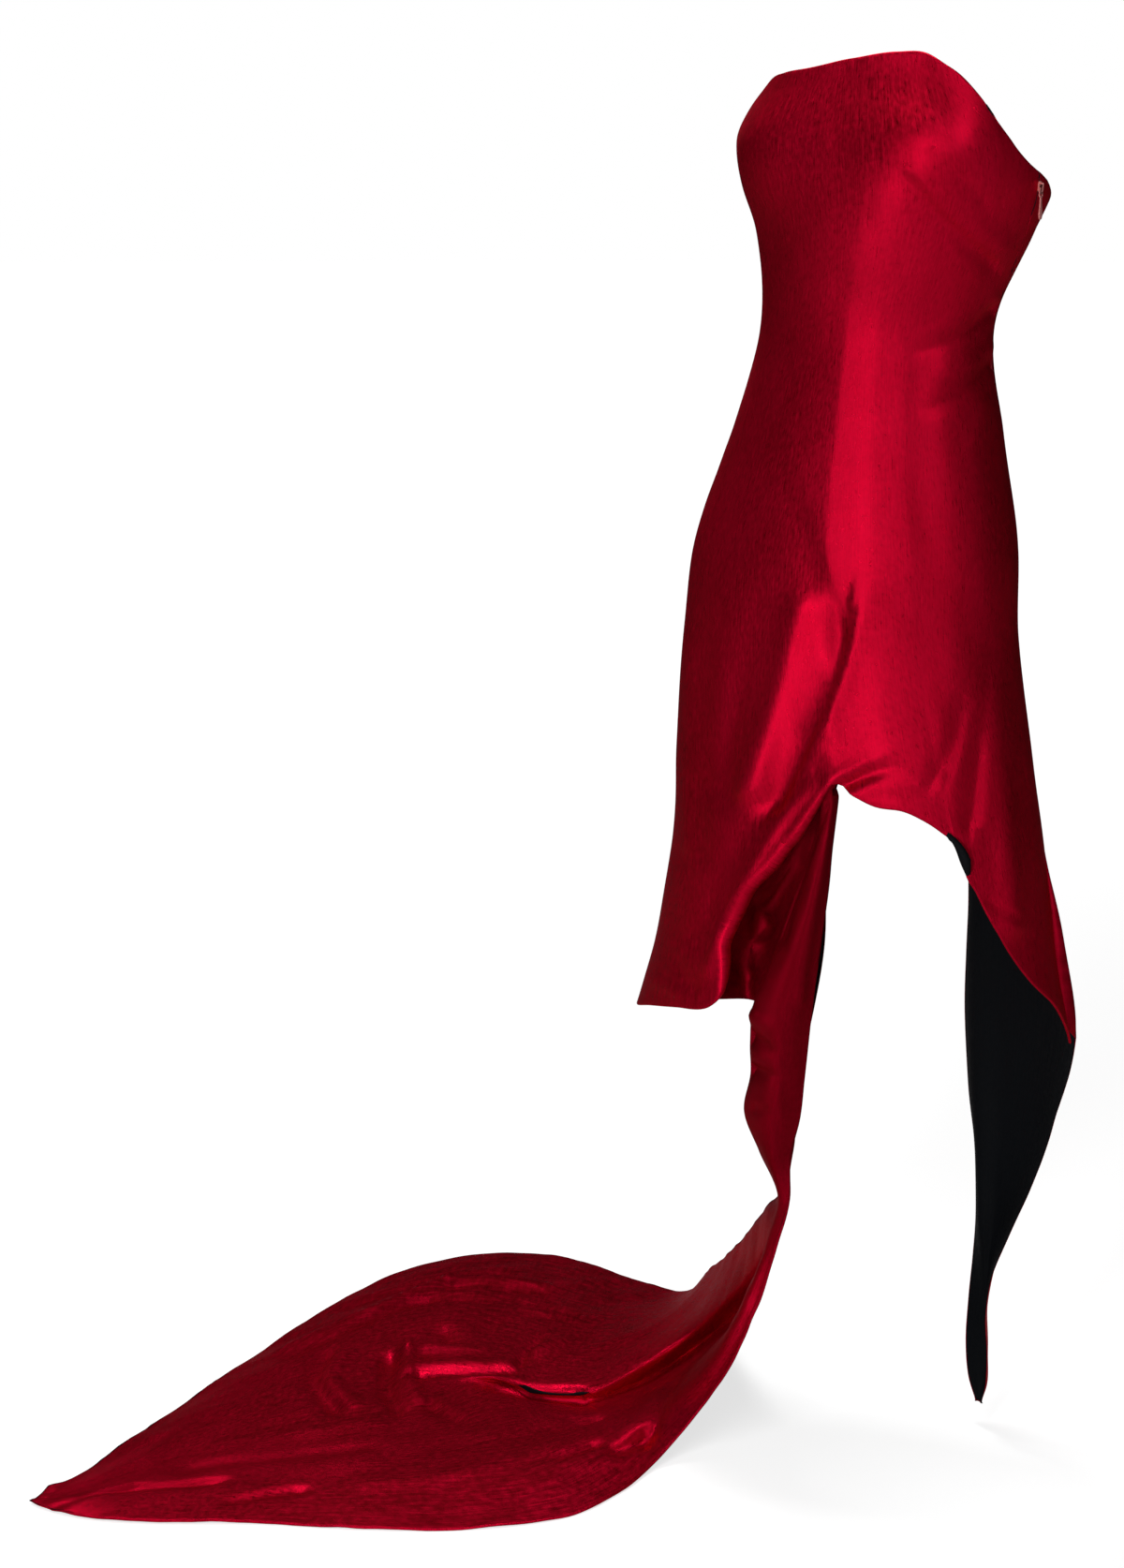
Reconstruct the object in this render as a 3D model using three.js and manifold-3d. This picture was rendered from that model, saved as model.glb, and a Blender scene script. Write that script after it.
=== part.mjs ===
import * as THREE from "three";
import Module from "manifold-3d";

// Millimetres. Heights in the tables are above the floor, and the origin is at the bust, where it is held.
const HOLD_HEIGHT = 1268;
// The cut sections below are for a wearer of about 80 cm bust, 62 cm waist and 89 cm hips.
const SATIN = 1.5;
const LINING = 1.0;
const GAP = 0.3;
const SEAM_GAP = 0.7;
// The tail and the train are laid out on a plan turned this far about the body's axis.
const PLAN_TURN = 30;

// Sections of the tube: half width, depth to the front and to the back, centre, and squareness.
const BODY = [
  { height: 400, half: 237, front: 160, back: 140, x: -9, y: 2, square: 2.0 },
  { height: 500, half: 209, front: 150, back: 132, x: -7, y: 4, square: 2.0 },
  { height: 600, half: 190, front: 138, back: 124, x: -6, y: 6, square: 2.1 },
  { height: 700, half: 180, front: 128, back: 118, x: -14, y: 8, square: 2.1 },
  { height: 820, half: 166, front: 118, back: 112, x: -21, y: 10, square: 2.2 },
  { height: 900, half: 160, front: 112, back: 106, x: -17, y: 10, square: 2.2 },
  { height: 1010, half: 131, front: 98, back: 92, x: -3, y: 6, square: 2.2 },
  { height: 1105, half: 112, front: 84, back: 78, x: 8.5, y: 0, square: 2.2 },
  { height: 1190, half: 133, front: 92, back: 84, x: 28, y: -6, square: 2.2 },
  { height: 1230, half: 148, front: 96, back: 87, x: 32, y: -7, square: 2.2 },
  { height: 1270, half: 150, front: 98, back: 90, x: 34, y: -8, square: 2.2 },
  { height: 1330, half: 130, front: 92, back: 84, x: 34, y: -6, square: 2.2 },
  { height: 1375, half: 126, front: 84, back: 78, x: 34, y: -6, square: 2.2 },
];
// Both cups: angle either side of the front, their spread and height, and how far they stand out.
const CUPS = { angle: 38, spread: 26, height: 1268, rise: 48, out: 17 };
// The cloth spans from cup to cup and on down to the waist.
const SPAN = { angle: 10, spread: 30, height: 1225, rise: 75, out: 9 };

// The largest folds of the tube, each a soft trough (out below 0) or ridge from one point to another.
const FOLDS = [
  { name: "hip to pinch", fromAngle: 12, fromHeight: 800, toAngle: -18, toHeight: 680, width: 20, out: -6 },
  { name: "beside it", fromAngle: -2, fromHeight: 815, toAngle: -26, toHeight: 700, width: 22, out: 4 },
  { name: "thigh", fromAngle: -12, fromHeight: 930, toAngle: 8, toHeight: 820, width: 20, out: -3 },
  { name: "left swag", fromAngle: 62, fromHeight: 760, toAngle: 48, toHeight: 690, width: 18, out: -5 },
  { name: "side flute", fromAngle: 66, fromHeight: 830, toAngle: 62, toHeight: 640, width: 16, out: -6 },
  { name: "side ridge", fromAngle: 84, fromHeight: 780, toAngle: 84, toHeight: 620, width: 24, out: 5 },
  { name: "under bust", fromAngle: 20, fromHeight: 1235, toAngle: 62, toHeight: 1150, width: 16, out: -3 },
  { name: "waist left", fromAngle: 72, fromHeight: 1112, toAngle: 38, toHeight: 1066, width: 14, out: -3 },
  { name: "hip left", fromAngle: 72, fromHeight: 1062, toAngle: 38, toHeight: 1012, width: 14, out: -3 },
  { name: "back hollow", fromAngle: 172, fromHeight: 1150, toAngle: 186, toHeight: 900, width: 34, out: -5 },
  { name: "back right", fromAngle: 232, fromHeight: 860, toAngle: 222, toHeight: 560, width: 30, out: -6 },
  { name: "right side", fromAngle: 282, fromHeight: 760, toAngle: 290, toHeight: 470, width: 26, out: -5 },
];

// The neckline, round the body from the wearer's right side over the front to the left and the back.
const NECK = [
  { angle: -90, height: 1226 },
  { angle: -75, height: 1252 },
  { angle: -62, height: 1284 },
  { angle: -52, height: 1309 },
  { angle: -43, height: 1327 },
  { angle: -33, height: 1332 },
  { angle: -17, height: 1336 },
  { angle: 0, height: 1343 },
  { angle: 17, height: 1348 },
  { angle: 29, height: 1347 },
  { angle: 38, height: 1337 },
  { angle: 46, height: 1325 },
  { angle: 52, height: 1308 },
  { angle: 57, height: 1286 },
  { angle: 64, height: 1268 },
  { angle: 73, height: 1254 },
  { angle: 88, height: 1240 },
  { angle: 98, height: 1230 },
  { angle: 125, height: 1214 },
  { angle: 180, height: 1205 },
  { angle: 235, height: 1208 },
  { angle: 270, height: 1226 },
];
// The left side seam leaves the underarm before the side and drifts to the back on its way down.
const LEFT_SEAM = [
  { height: 400, angle: 111 },
  { height: 600, angle: 107 },
  { height: 800, angle: 103 },
  { height: 950, angle: 104.5 },
  { height: 1060, angle: 105.5 },
  { height: 1120, angle: 102 },
  { height: 1170, angle: 94.6 },
  { height: 1210, angle: 87.5 },
  { height: 1245, angle: 82.5 },
];
const SEAM_TOP = 82.5;

// The front hem by its length from the right seam: it rises along the lip to the pinch and falls again.
const FRONT_HEM = [
  { along: 0, angle: -90, height: 430 },
  { along: 80, angle: -67, height: 437 },
  { along: 148, angle: -47.5, height: 452 },
  { along: 198, angle: -33, height: 462 },
  { along: 236, angle: -21, height: 468 },
  { along: 252, angle: -16.8, height: 474 },
  { along: 265, angle: -16, height: 486 },
  { along: 295, angle: -16.2, height: 518 },
  { along: 330, angle: -15.4, height: 554 },
  { along: 364, angle: -10, height: 582 },
  { along: 395, angle: -4, height: 606 },
  { along: 444, angle: 4, height: 646 },
  { along: 478, angle: 11.5, height: 680 },
  { along: 500, angle: 16.5, height: 696 },
  { along: 522, angle: 22, height: 688 },
  { along: 546, angle: 28.5, height: 680 },
  { along: 574, angle: 37, height: 678 },
  { along: 598, angle: 43.5, height: 670 },
  { along: 622, angle: 49.5, height: 660 },
  { along: 645, angle: 55, height: 648 },
  { along: 676, angle: 56.5, height: 617 },
  { along: 692, angle: 59, height: 603 },
  { along: 744, angle: 67.5, height: 562 },
  { along: 810, angle: 80, height: 514 },
  { along: 874, angle: 96, height: 478 },
  { along: 934, angle: 110.2, height: 440 },
];
// The back hem, from the left seam: the tail is cut on below its first part.
const BACK_HEM = [
  { along: 0, angle: 106.6, height: 620 },
  { along: 180, angle: 163, height: 620 },
  { along: 225, angle: 177, height: 630 },
  { along: 285, angle: 194, height: 654 },
  { along: 325, angle: 206, height: 652 },
  { along: 400, angle: 226, height: 590 },
  { along: 480, angle: 248, height: 478 },
  { along: 545, angle: 270, height: 430 },
];
// The left seam is closed down to here, and the tail hangs free below it.
const SEAM_END = 446;

// The tail below the tube: across and away for its seam edge, two fullnesses, its crease and its free edge.
const TAIL = [
  { height: 540, seam: [192, -54], full: [182, 8], inner: [152, 54], crease: [116, 84], free: [108, 100] },
  { height: 443, seam: [206, -50], full: [189, 14], inner: [152, 60], crease: [116, 88], free: [107, 108] },
  { height: 350, seam: [191, -12], full: [179, 34], inner: [148, 70], crease: [119, 88], free: [113, 110] },
  { height: 285, seam: [176, 12], full: [167, 46], inner: [145, 73], crease: [123, 86], free: [121, 110] },
  { height: 221, seam: [155, 35], full: [153, 60], inner: [141, 80], crease: [126, 85], free: [124, 110] },
  { height: 172, seam: [139, 47], full: [141, 66], inner: [138, 83], crease: [130, 88], free: [122, 107] },
  { height: 128, seam: [134, 56], full: [136, 70], inner: [136, 82], crease: [131, 90], free: [118, 104] },
  { height: 86, seam: [136, 63], full: [137, 73], inner: [137, 83], crease: [130, 88], free: [116, 99] },
  { height: 50, seam: [136, 69], full: [138, 77], inner: [135, 84], crease: [128, 87], free: [119, 94] },
  { height: 26, seam: [132, 75], full: [132, 77], inner: [131, 79], crease: [129, 82], free: [127, 84] },
];

// The train from the pinch to its tip: across, away and height of its near edge, a swell, the valley,
// the crest, a far swell and the far edge. The first rows are the strip, folded round its left side.
const TRAIN_GUIDES = ["near", "swell", "valley", "crest", "rise", "far"];
const TRAIN = [
  [[-14, -104, 712], [-22, -110, 712], [-30, -107, 712], [-31, -99, 712], [-24, -95, 712], [-13, -95, 712]],
  [[-20, -102, 672], [-27, -110, 672], [-35, -105, 672], [-36, -96, 672], [-28, -91, 672], [-22, -92, 672]],
  [[-24, -98, 630], [-33, -108, 630], [-43, -101, 630], [-44, -90, 630], [-34, -84, 630], [-26, -86, 630]],
  [[-28, -92, 580], [-43, -106, 580], [-58, -94, 580], [-59, -82, 580], [-44, -74, 580], [-28, -80, 580]],
  [[-34, -88, 530], [-56, -104, 530], [-74, -88, 530], [-75, -74, 530], [-54, -66, 530], [-31, -73, 530]],
  [[-40, -84, 480], [-66, -102, 480], [-92, -82, 480], [-93, -68, 480], [-64, -58, 480], [-36, -67, 480]],
  [[-44, -80, 436], [-72, -100, 436], [-96, -78, 436], [-97, -62, 436], [-68, -50, 436], [-40, -61, 436]],
  [[-47, -78, 404], [-73, -96, 404], [-96, -74, 404], [-97, -56, 404], [-70, -44, 404], [-45, -55, 404]],
  [[-51, -76, 364], [-79, -92, 364], [-101, -67, 364], [-103, -47, 364], [-75, -34, 364], [-50, -47, 364]],
  [[-59, -74, 326], [-78, -82, 325], [-89, -56, 323], [-91, -34, 320], [-80, -10, 318], [-58, -14, 316]],
  [[-61, -71, 284], [-71, -62, 280], [-72, -38, 274], [-73, -12, 267], [-73, 14, 262], [-69, 42, 256]],
  [[-69, -66, 248], [-80, -50, 240], [-82, -16, 212], [-84, 14, 222], [-86, 50, 228], [-86, 84, 225]],
  [[-80, -58, 205], [-98, -36, 186], [-94, 52, 138], [-97, 80, 168], [-102, 118, 182], [-105, 152, 176]],
  [[-96, -50, 155], [-120, -20, 132], [-115, 105, 100], [-118, 130, 123], [-124, 185, 130], [-130, 240, 119]],
  [[-120, -42, 98], [-152, 0, 78], [-162, 156, 40], [-166, 180, 57], [-162, 255, 66], [-157, 352, 59]],
  [[-150, -35, 48], [-188, 12, 38], [-208, 130, 12], [-213, 152, 32], [-205, 270, 34], [-181, 420, 10]],
  [[-184, -58, 12], [-222, -5, 24], [-254, 86, 8], [-260, 104, 22], [-262, 255, 22], [-228, 456, 4]],
  [[-215, -121, 4], [-262, -50, 21], [-312, 84, 8], [-316, 106, 19], [-315, 270, 20], [-285, 503, 4]],
  [[-262, -184, 4], [-310, -95, 17], [-366, 112, 9], [-370, 138, 17], [-365, 310, 15], [-345, 543, 4]],
  [[-352, -221, 4], [-390, -120, 14], [-425, 50, 10], [-430, 150, 13], [-425, 320, 18], [-408, 547, 4]],
  [[-450, -230, 4], [-468, -135, 12], [-480, 10, 12], [-482, 130, 11], [-480, 300, 17], [-484, 504, 4]],
  [[-551, -227, 4], [-552, -145, 11], [-553, -20, 9], [-555, 90, 12], [-555, 243, 13], [-552, 411, 4]],
  [[-651, -235, 4], [-650, -172, 10], [-648, -90, 8], [-646, -20, 11], [-645, 73, 10], [-642, 172, 4]],
  [[-715, -230, 4], [-712, -197, 8], [-710, -160, 7], [-708, -128, 8], [-706, -82, 7], [-704, -17, 4]],
  [[-757, -213, 4], [-755, -203, 5], [-753, -194, 5], [-751, -184, 5], [-748, -166, 5], [-744, -134, 4]],
  [[-774, -200, 4], [-773, -197, 4], [-771, -195, 4], [-770, -192, 4], [-768, -182, 4], [-766, -164, 4]],
];

// The inset behind the lip: the angle where its edge is sewn inside the front, its pocket, and its other
// edge behind the strip's fold, across, away and height.
const INSET = [
  { angle: 8, height: 678, pocket: [-38, -98, 678], fold: [-34, -89, 678] },
  { angle: 1, height: 646, pocket: [-50, -84, 646], fold: [-38, -84, 646] },
  { angle: -6, height: 612, pocket: [-66, -66, 610], fold: [-46, -78, 608] },
  { angle: -13, height: 580, pocket: [-82, -50, 576], fold: [-58, -71, 570] },
  { angle: -18, height: 550, pocket: [-95, -38, 544], fold: [-70, -66, 534] },
  { angle: -20, height: 520, pocket: [-104, -38, 512], fold: [-82, -61, 500] },
  { angle: -19.5, height: 487, pocket: [-107, -46, 482], fold: [-91, -57, 474] },
];
// What is sewn inside the front lies this far in from its outer face, under the facing.
const SEAT = 3.6;
const PINCH = { angle: 16, height: 712 };

// Zip: the coil ends at ZIP_END. The slider's plate, its arch and the hanging pull tab are one size each.
const ZIP_END = 905;
const TAPE = { width: 9, thick: 1, clear: 1.3 };
const SLIDER = { height: 1232, long: 10, wide: 5, plate: 1.6, clear: -0.4, tail: 0.86, waist: 0.12 };
const ARCH = { wide: 1.6, foot: 0.8, bar: 1.2, round: 1.2, windowLong: 5.2, windowHigh: 2.2, sunk: 0.2 };
const PULL = { ringWide: 5, ringLong: 8, hole: 3, thick: 1.2, long: 27, dropWide: 4.6, neck: 1.1, pin: 1.2 };

const FRONT_COLUMNS = 38;
const BACK_COLUMNS = 24;
const TUBE_ROWS = 25;
const TAIL_ROWS = 15;
const TRAIN_COLUMNS = 15;
const TRAIN_ROWS = 42;
const INSET_COLUMNS = 8;
const INSET_ROWS = 10;

const RAD = Math.PI / 180;

// A smooth curve through the rows of a table, for one or more named columns.
function along(table, key, at, names) {
  const last = table.length - 1;
  const clamped = Math.min(Math.max(at, table[0][key]), table[last][key]);
  let i = 0;
  while (i < last - 1 && clamped > table[i + 1][key]) i += 1;
  const span = table[i + 1][key] - table[i][key];
  const t = (clamped - table[i][key]) / span;
  const result = {};
  for (const name of names) {
    const slope = (k) => {
      if (k === 0) return (table[1][name] - table[0][name]) / (table[1][key] - table[0][key]);
      if (k === last) return (table[k][name] - table[k - 1][name]) / (table[k][key] - table[k - 1][key]);
      const before = (table[k][name] - table[k - 1][name]) / (table[k][key] - table[k - 1][key]);
      const after = (table[k + 1][name] - table[k][name]) / (table[k + 1][key] - table[k][key]);
      return before * after <= 0 ? 0 : (before + after) / 2;
    };
    const a = table[i][name];
    const b = table[i + 1][name];
    const t2 = t * t;
    const t3 = t2 * t;
    result[name] =
      (2 * t3 - 3 * t2 + 1) * a +
      (t3 - 2 * t2 + t) * span * slope(i) +
      (3 * t2 - 2 * t3) * b +
      (t3 - t2) * span * slope(i + 1);
  }
  return result;
}

// A smooth value on a list of numbers at a place between its ends, 0 to 1.
function smoothList(values, place) {
  const last = values.length - 1;
  const at = Math.min(Math.max(place, 0), 1) * last;
  const i = Math.min(Math.floor(at), last - 1);
  const t = at - i;
  const p0 = i > 0 ? values[i - 1] : 2 * values[0] - values[1];
  const p1 = values[i];
  const p2 = values[i + 1];
  const p3 = i < last - 1 ? values[i + 2] : 2 * values[last] - values[last - 1];
  const slope = p2 - p0;
  const bend = 2 * p0 - 5 * p1 + 4 * p2 - p3;
  const twist = 3 * p1 - p0 - 3 * p2 + p3;
  return 0.5 * (2 * p1 + slope * t + bend * t * t + twist * t * t * t);
}

const signedPower = (value, power) => Math.sign(value) * Math.abs(value) ** power;
const BODY_NAMES = ["half", "front", "back", "x", "y", "square"];

// How far the folds move the cloth out at an angle and height. Each is this much weaker at its ends.
const FOLD_END_FADE = 0.6;
function foldsOut(angle, height, radius) {
  let out = 0;
  for (const fold of FOLDS) {
    const toFrom = ((angle - fold.fromAngle + 540) % 360) - 180;
    const turn = ((fold.toAngle - fold.fromAngle + 540) % 360) - 180;
    const px = toFrom * RAD * radius;
    const pz = height - fold.fromHeight;
    const ax = turn * RAD * radius;
    const az = fold.toHeight - fold.fromHeight;
    const share = Math.min(Math.max((px * ax + pz * az) / (ax * ax + az * az), 0), 1);
    const away = Math.hypot(px - ax * share, pz - az * share);
    const faded = 1 - FOLD_END_FADE * (2 * share - 1) ** 4;
    out += fold.out * faded * Math.exp(-((away / fold.width) ** 2));
  }
  return out;
}

// A point of the tube's outer face at an angle round the body (0 front, 90 the wearer's left) and a height.
function tubePoint(angle, height) {
  const section = along(BODY, "height", height, BODY_NAMES);
  const s = Math.sin(angle * RAD);
  const c = Math.cos(angle * RAD);
  const power = 2 / section.square;
  const depth = c > 0 ? section.front : section.back;
  let out = foldsOut(angle, height, section.half);
  for (const side of [-1, 1]) {
    const turned = ((angle - side * CUPS.angle + 540) % 360) - 180;
    out +=
      CUPS.out *
      Math.exp(-((turned / CUPS.spread) ** 2)) *
      Math.exp(-(((height - CUPS.height) / CUPS.rise) ** 2));
  }
  const spanTurned = ((angle - SPAN.angle + 540) % 360) - 180;
  out +=
    SPAN.out *
    Math.exp(-((spanTurned / SPAN.spread) ** 2)) *
    Math.exp(-(((height - SPAN.height) / SPAN.rise) ** 2));
  return new THREE.Vector3(
    section.x + section.half * signedPower(s, power) + out * s,
    section.y - depth * signedPower(c, power) - out * c,
    height - HOLD_HEIGHT,
  );
}

// A point of the turned plan: across and away from the body's axis, and a height above the floor.
function planPoint(across, away, height) {
  const c = Math.cos(PLAN_TURN * RAD);
  const s = Math.sin(PLAN_TURN * RAD);
  return new THREE.Vector3(across * c - away * s, across * s + away * c, height - HOLD_HEIGHT);
}

// A point inside the tube, this far in along the surface's direction.
function seatPoint(angle, height, inward) {
  const at = tubePoint(angle, height);
  const side = tubePoint(angle + 0.5, height).sub(tubePoint(angle - 0.5, height));
  const rise = tubePoint(angle, height + 2).sub(tubePoint(angle, height - 2));
  return at.addScaledVector(side.cross(rise).normalize(), -inward);
}

// The plan's across, away and height of a point.
function onPlan(point) {
  const c = Math.cos(PLAN_TURN * RAD);
  const s = Math.sin(PLAN_TURN * RAD);
  return [point.x * c + point.y * s, -point.x * s + point.y * c, point.z + HOLD_HEIGHT];
}

const neckHeight = (angle) => along(NECK, "angle", angle, ["height"]).height;
const seamAngle = (height) => along(LEFT_SEAM, "height", height, ["angle"]).angle;
const seamShift = (height) => SEAM_GAP / 2 / along(BODY, "height", height, ["half"]).half / RAD;

// One cloth sheet: rows of points joined by quads. Points that meet are shared.
class Sheet {
  constructor() {
    this.points = [];
    this.quads = [];
    this.found = new Map();
  }
  index(point) {
    const key = [point.x, point.y, point.z].map((v) => Math.round(v * 200)).join();
    if (!this.found.has(key)) {
      this.found.set(key, this.points.length);
      this.points.push(point.clone());
    }
    return this.found.get(key);
  }
  // Rows run along the second direction; the outside is where row direction x column direction points.
  grid(rows, tag) {
    const ids = rows.map((row) => row.map((point) => this.index(point)));
    for (let j = 0; j + 1 < ids.length; j += 1) {
      for (let i = 0; i + 1 < ids[j].length; i += 1) {
        const corners = [ids[j][i], ids[j][i + 1], ids[j + 1][i + 1], ids[j + 1][i]];
        this.quads.push({ tag, row: j, column: i, ids: corners });
      }
    }
  }
  triangles(quad) {
    const [a, b, c, d] = quad.ids;
    const P = this.points;
    const split =
      P[a].distanceToSquared(P[c]) <= P[b].distanceToSquared(P[d])
        ? [[a, b, c], [a, c, d]]
        : [[a, b, d], [b, c, d]];
    return split.filter(([i, j, k]) => i !== j && j !== k && k !== i);
  }
  normals() {
    const sums = this.points.map(() => new THREE.Vector3());
    for (const quad of this.quads) {
      for (const [a, b, c] of this.triangles(quad)) {
        const ab = this.points[b].clone().sub(this.points[a]);
        const ac = this.points[c].clone().sub(this.points[a]);
        const face = ab.cross(ac);
        for (const id of [a, b, c]) sums[id].add(face);
      }
    }
    return sums.map((sum) => sum.normalize());
  }
  // A closed wall between two distances along the outward direction, of the quads that are kept.
  wall(outer, inner, keep = () => true) {
    const normals = this.normals();
    const faces = this.quads.filter(keep).flatMap((quad) => this.triangles(quad));
    const position = [];
    const index = [];
    const place = new Map();
    const vertex = (id, distance, layer) => {
      const key = id + layer;
      if (!place.has(key)) {
        place.set(key, position.length / 3);
        position.push(...this.points[id].clone().addScaledVector(normals[id], distance).toArray());
      }
      return place.get(key);
    };
    const edges = new Set();
    for (const [a, b, c] of faces) {
      for (const [p, q] of [[a, b], [b, c], [c, a]]) edges.add(p + "," + q);
    }
    for (const [a, b, c] of faces) {
      index.push(vertex(a, outer, "o"), vertex(b, outer, "o"), vertex(c, outer, "o"));
      index.push(vertex(a, inner, "i"), vertex(c, inner, "i"), vertex(b, inner, "i"));
      for (const [p, q] of [[a, b], [b, c], [c, a]]) {
        if (edges.has(q + "," + p)) continue;
        const po = vertex(p, outer, "o");
        const qo = vertex(q, outer, "o");
        const pi = vertex(p, inner, "i");
        const qi = vertex(q, inner, "i");
        index.push(po, pi, qi, po, qi, qo);
      }
    }
    const geometry = new THREE.BufferGeometry();
    geometry.setAttribute("position", new THREE.Float32BufferAttribute(position, 3));
    geometry.setIndex(index);
    return geometry;
  }
}

// Rows of one panel of the tube, from its hem up to the neckline. A column leaves the hem slanted and turns
// upright as it rises, the sooner the larger this ease is.
const HEM_EASE = 2.2;
function panelRows(hemTable, columns, topFrom, topTo, shiftFrom, shiftTo) {
  const length = hemTable[hemTable.length - 1].along;
  const rows = [];
  for (let j = 0; j <= TUBE_ROWS; j += 1) {
    const up = j / TUBE_ROWS;
    const settle = 1 - (1 - up) ** HEM_EASE;
    const row = [];
    for (let i = 0; i <= columns; i += 1) {
      const share = i / columns;
      const hem = along(hemTable, "along", share * length, ["angle", "height"]);
      const topAngle = topFrom + (topTo - topFrom) * share;
      const height = hem.height + (neckHeight(topAngle) - hem.height) * up;
      row.push({ share, height, angle: hem.angle + (topAngle - hem.angle) * settle });
    }
    // The outer columns follow the seams, and those beside them draw in after them.
    const first = row[0];
    const last = row[columns];
    const atFirst = shiftFrom(first.height) - first.angle;
    const atLast = shiftTo(last.height) - last.angle;
    rows.push(
      row.map(({ share, height, angle }) =>
        tubePoint(angle + atFirst * (1 - share) ** 3 + atLast * share ** 3, height),
      ),
    );
  }
  return rows;
}

// The front, from the right seam to the left one.
const rightSeamFront = (height) => -90 + seamShift(height);
const rightSeamBack = (height) => 270 - seamShift(height);
const leftSeamFront = (height) => seamAngle(height) - seamShift(height);
const leftSeamBack = (height) => seamAngle(height) + seamShift(height);
const front = new Sheet();
const frontRows = panelRows(FRONT_HEM, FRONT_COLUMNS, -90, SEAM_TOP, rightSeamFront, leftSeamFront);
front.grid(frontRows, "tube");

// The back, with the tail cut on below its left part.
const back = new Sheet();
const backRows = panelRows(BACK_HEM, BACK_COLUMNS, SEAM_TOP, 270, leftSeamBack, rightSeamBack);
back.grid(backRows, "tube");
const backLength = BACK_HEM[BACK_HEM.length - 1].along;
const tailColumns = Math.round((BACK_HEM[1].along / backLength) * BACK_COLUMNS);
const TAIL_GUIDES = ["seam", "full", "inner", "crease", "free"];
const tailTop = backRows[0].slice(0, tailColumns + 1);
const tailRows = [];
for (let j = 0; j <= TAIL_ROWS; j += 1) {
  const down = j / TAIL_ROWS;
  const row = [];
  for (let i = 0; i <= tailColumns; i += 1) {
    const share = i / tailColumns;
    if (j === 0) {
      row.push(tailTop[i]);
      continue;
    }
    const [acrossTop, awayTop, heightTop] = onPlan(tailTop[i]);
    const acrossList = [acrossTop];
    const awayList = [awayTop];
    const heightList = [heightTop];
    for (const level of TAIL) {
      acrossList.push(smoothList(TAIL_GUIDES.map((name) => level[name][0]), share));
      awayList.push(smoothList(TAIL_GUIDES.map((name) => level[name][1]), share));
      heightList.push(level.height);
    }
    const height = smoothList(heightList, down);
    if (i === 0 && height > SEAM_END) row.push(tubePoint(leftSeamBack(height), height));
    else row.push(planPoint(smoothList(acrossList, down), smoothList(awayList, down), height));
  }
  tailRows.push(row);
}
back.grid([...tailRows].reverse(), "tail");

// The train, from the pinch down the folded strip and out over the floor.
function guideRows(stations, rowCount, columnCount) {
  const rows = [];
  for (let j = 0; j <= rowCount; j += 1) {
    const row = [];
    for (let i = 0; i <= columnCount; i += 1) {
      const place = [0, 1, 2].map((axis) =>
        smoothList(
          stations.map((station) => smoothList(station.map((guide) => guide[axis]), i / columnCount)),
          j / rowCount,
        ),
      );
      row.push(planPoint(...place));
    }
    rows.push(row);
  }
  return rows;
}
// The strip's top is sewn inside the front at the pinch.
const pinchSeat = onPlan(seatPoint(PINCH.angle, PINCH.height, SEAT + 0.4));
const pinchShift = pinchSeat.map((value, axis) => value - TRAIN[0][TRAIN_GUIDES.indexOf("swell")][axis]);
TRAIN[0] = TRAIN[0].map((guide) => guide.map((value, axis) => value + pinchShift[axis]));
const train = new Sheet();
train.grid(guideRows(TRAIN, TRAIN_ROWS, TRAIN_COLUMNS), "train");

const insetStations = INSET.map(({ angle, height, pocket, fold }) => [
  onPlan(seatPoint(angle, height, SEAT)),
  pocket,
  fold,
]);
const inset = new Sheet();
inset.grid(guideRows(insetStations, INSET_ROWS, INSET_COLUMNS).reverse(), "inset");

// The zip's tape, inside the left seam, from the slider down.
const tape = new Sheet();
const tapeRows = [];
for (const row of frontRows) {
  const height = row[FRONT_COLUMNS].z + HOLD_HEIGHT;
  if (height < ZIP_END) continue;
  const half = TAPE.width / 2 / along(BODY, "height", height, ["half"]).half / RAD;
  tapeRows.push([-1, 0, 1].map((side) => tubePoint(seamAngle(height) + side * half, height)));
}
tape.grid(tapeRows, "tape");

const wasm = await Module();
wasm.setup();

function toManifold(geometry) {
  const flat = geometry.index ? geometry.toNonIndexed() : geometry;
  const points = flat.getAttribute("position").array;
  const found = new Map();
  const vertices = [];
  const triangles = new Uint32Array(points.length / 3);
  for (let i = 0; i < points.length; i += 3) {
    const key = [points[i], points[i + 1], points[i + 2]].map((v) => Math.round(v * 10000)).join();
    if (!found.has(key)) {
      found.set(key, vertices.length / 3);
      vertices.push(points[i], points[i + 1], points[i + 2]);
    }
    triangles[i / 3] = found.get(key);
  }
  return new wasm.Manifold(
    new wasm.Mesh({ numProp: 3, vertProperties: new Float32Array(vertices), triVerts: triangles }),
  );
}

function fromManifold(solid) {
  const mesh = solid.getMesh();
  const geometry = new THREE.BufferGeometry();
  geometry.setAttribute("position", new THREE.BufferAttribute(new Float32Array(mesh.vertProperties), 3));
  geometry.setIndex(new THREE.BufferAttribute(new Uint32Array(mesh.triVerts), 1));
  return geometry;
}

// The slider's frame on the seam: out of the cloth, across the zip, and up along it.
const onSeam = (height, turn = 0) => tubePoint(seamAngle(height) + turn, height);
const sliderAt = onSeam(SLIDER.height);
const upAlong = onSeam(SLIDER.height + 6).sub(onSeam(SLIDER.height - 6)).normalize();
const outward = onSeam(SLIDER.height, -2).sub(sliderAt).cross(upAlong).normalize();
if (outward.x < 0) outward.negate();
const acrossZip = upAlong.clone().cross(outward).normalize();
const sliderFrame = new THREE.Matrix4().makeBasis(outward, acrossZip, upAlong).setPosition(sliderAt);

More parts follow.
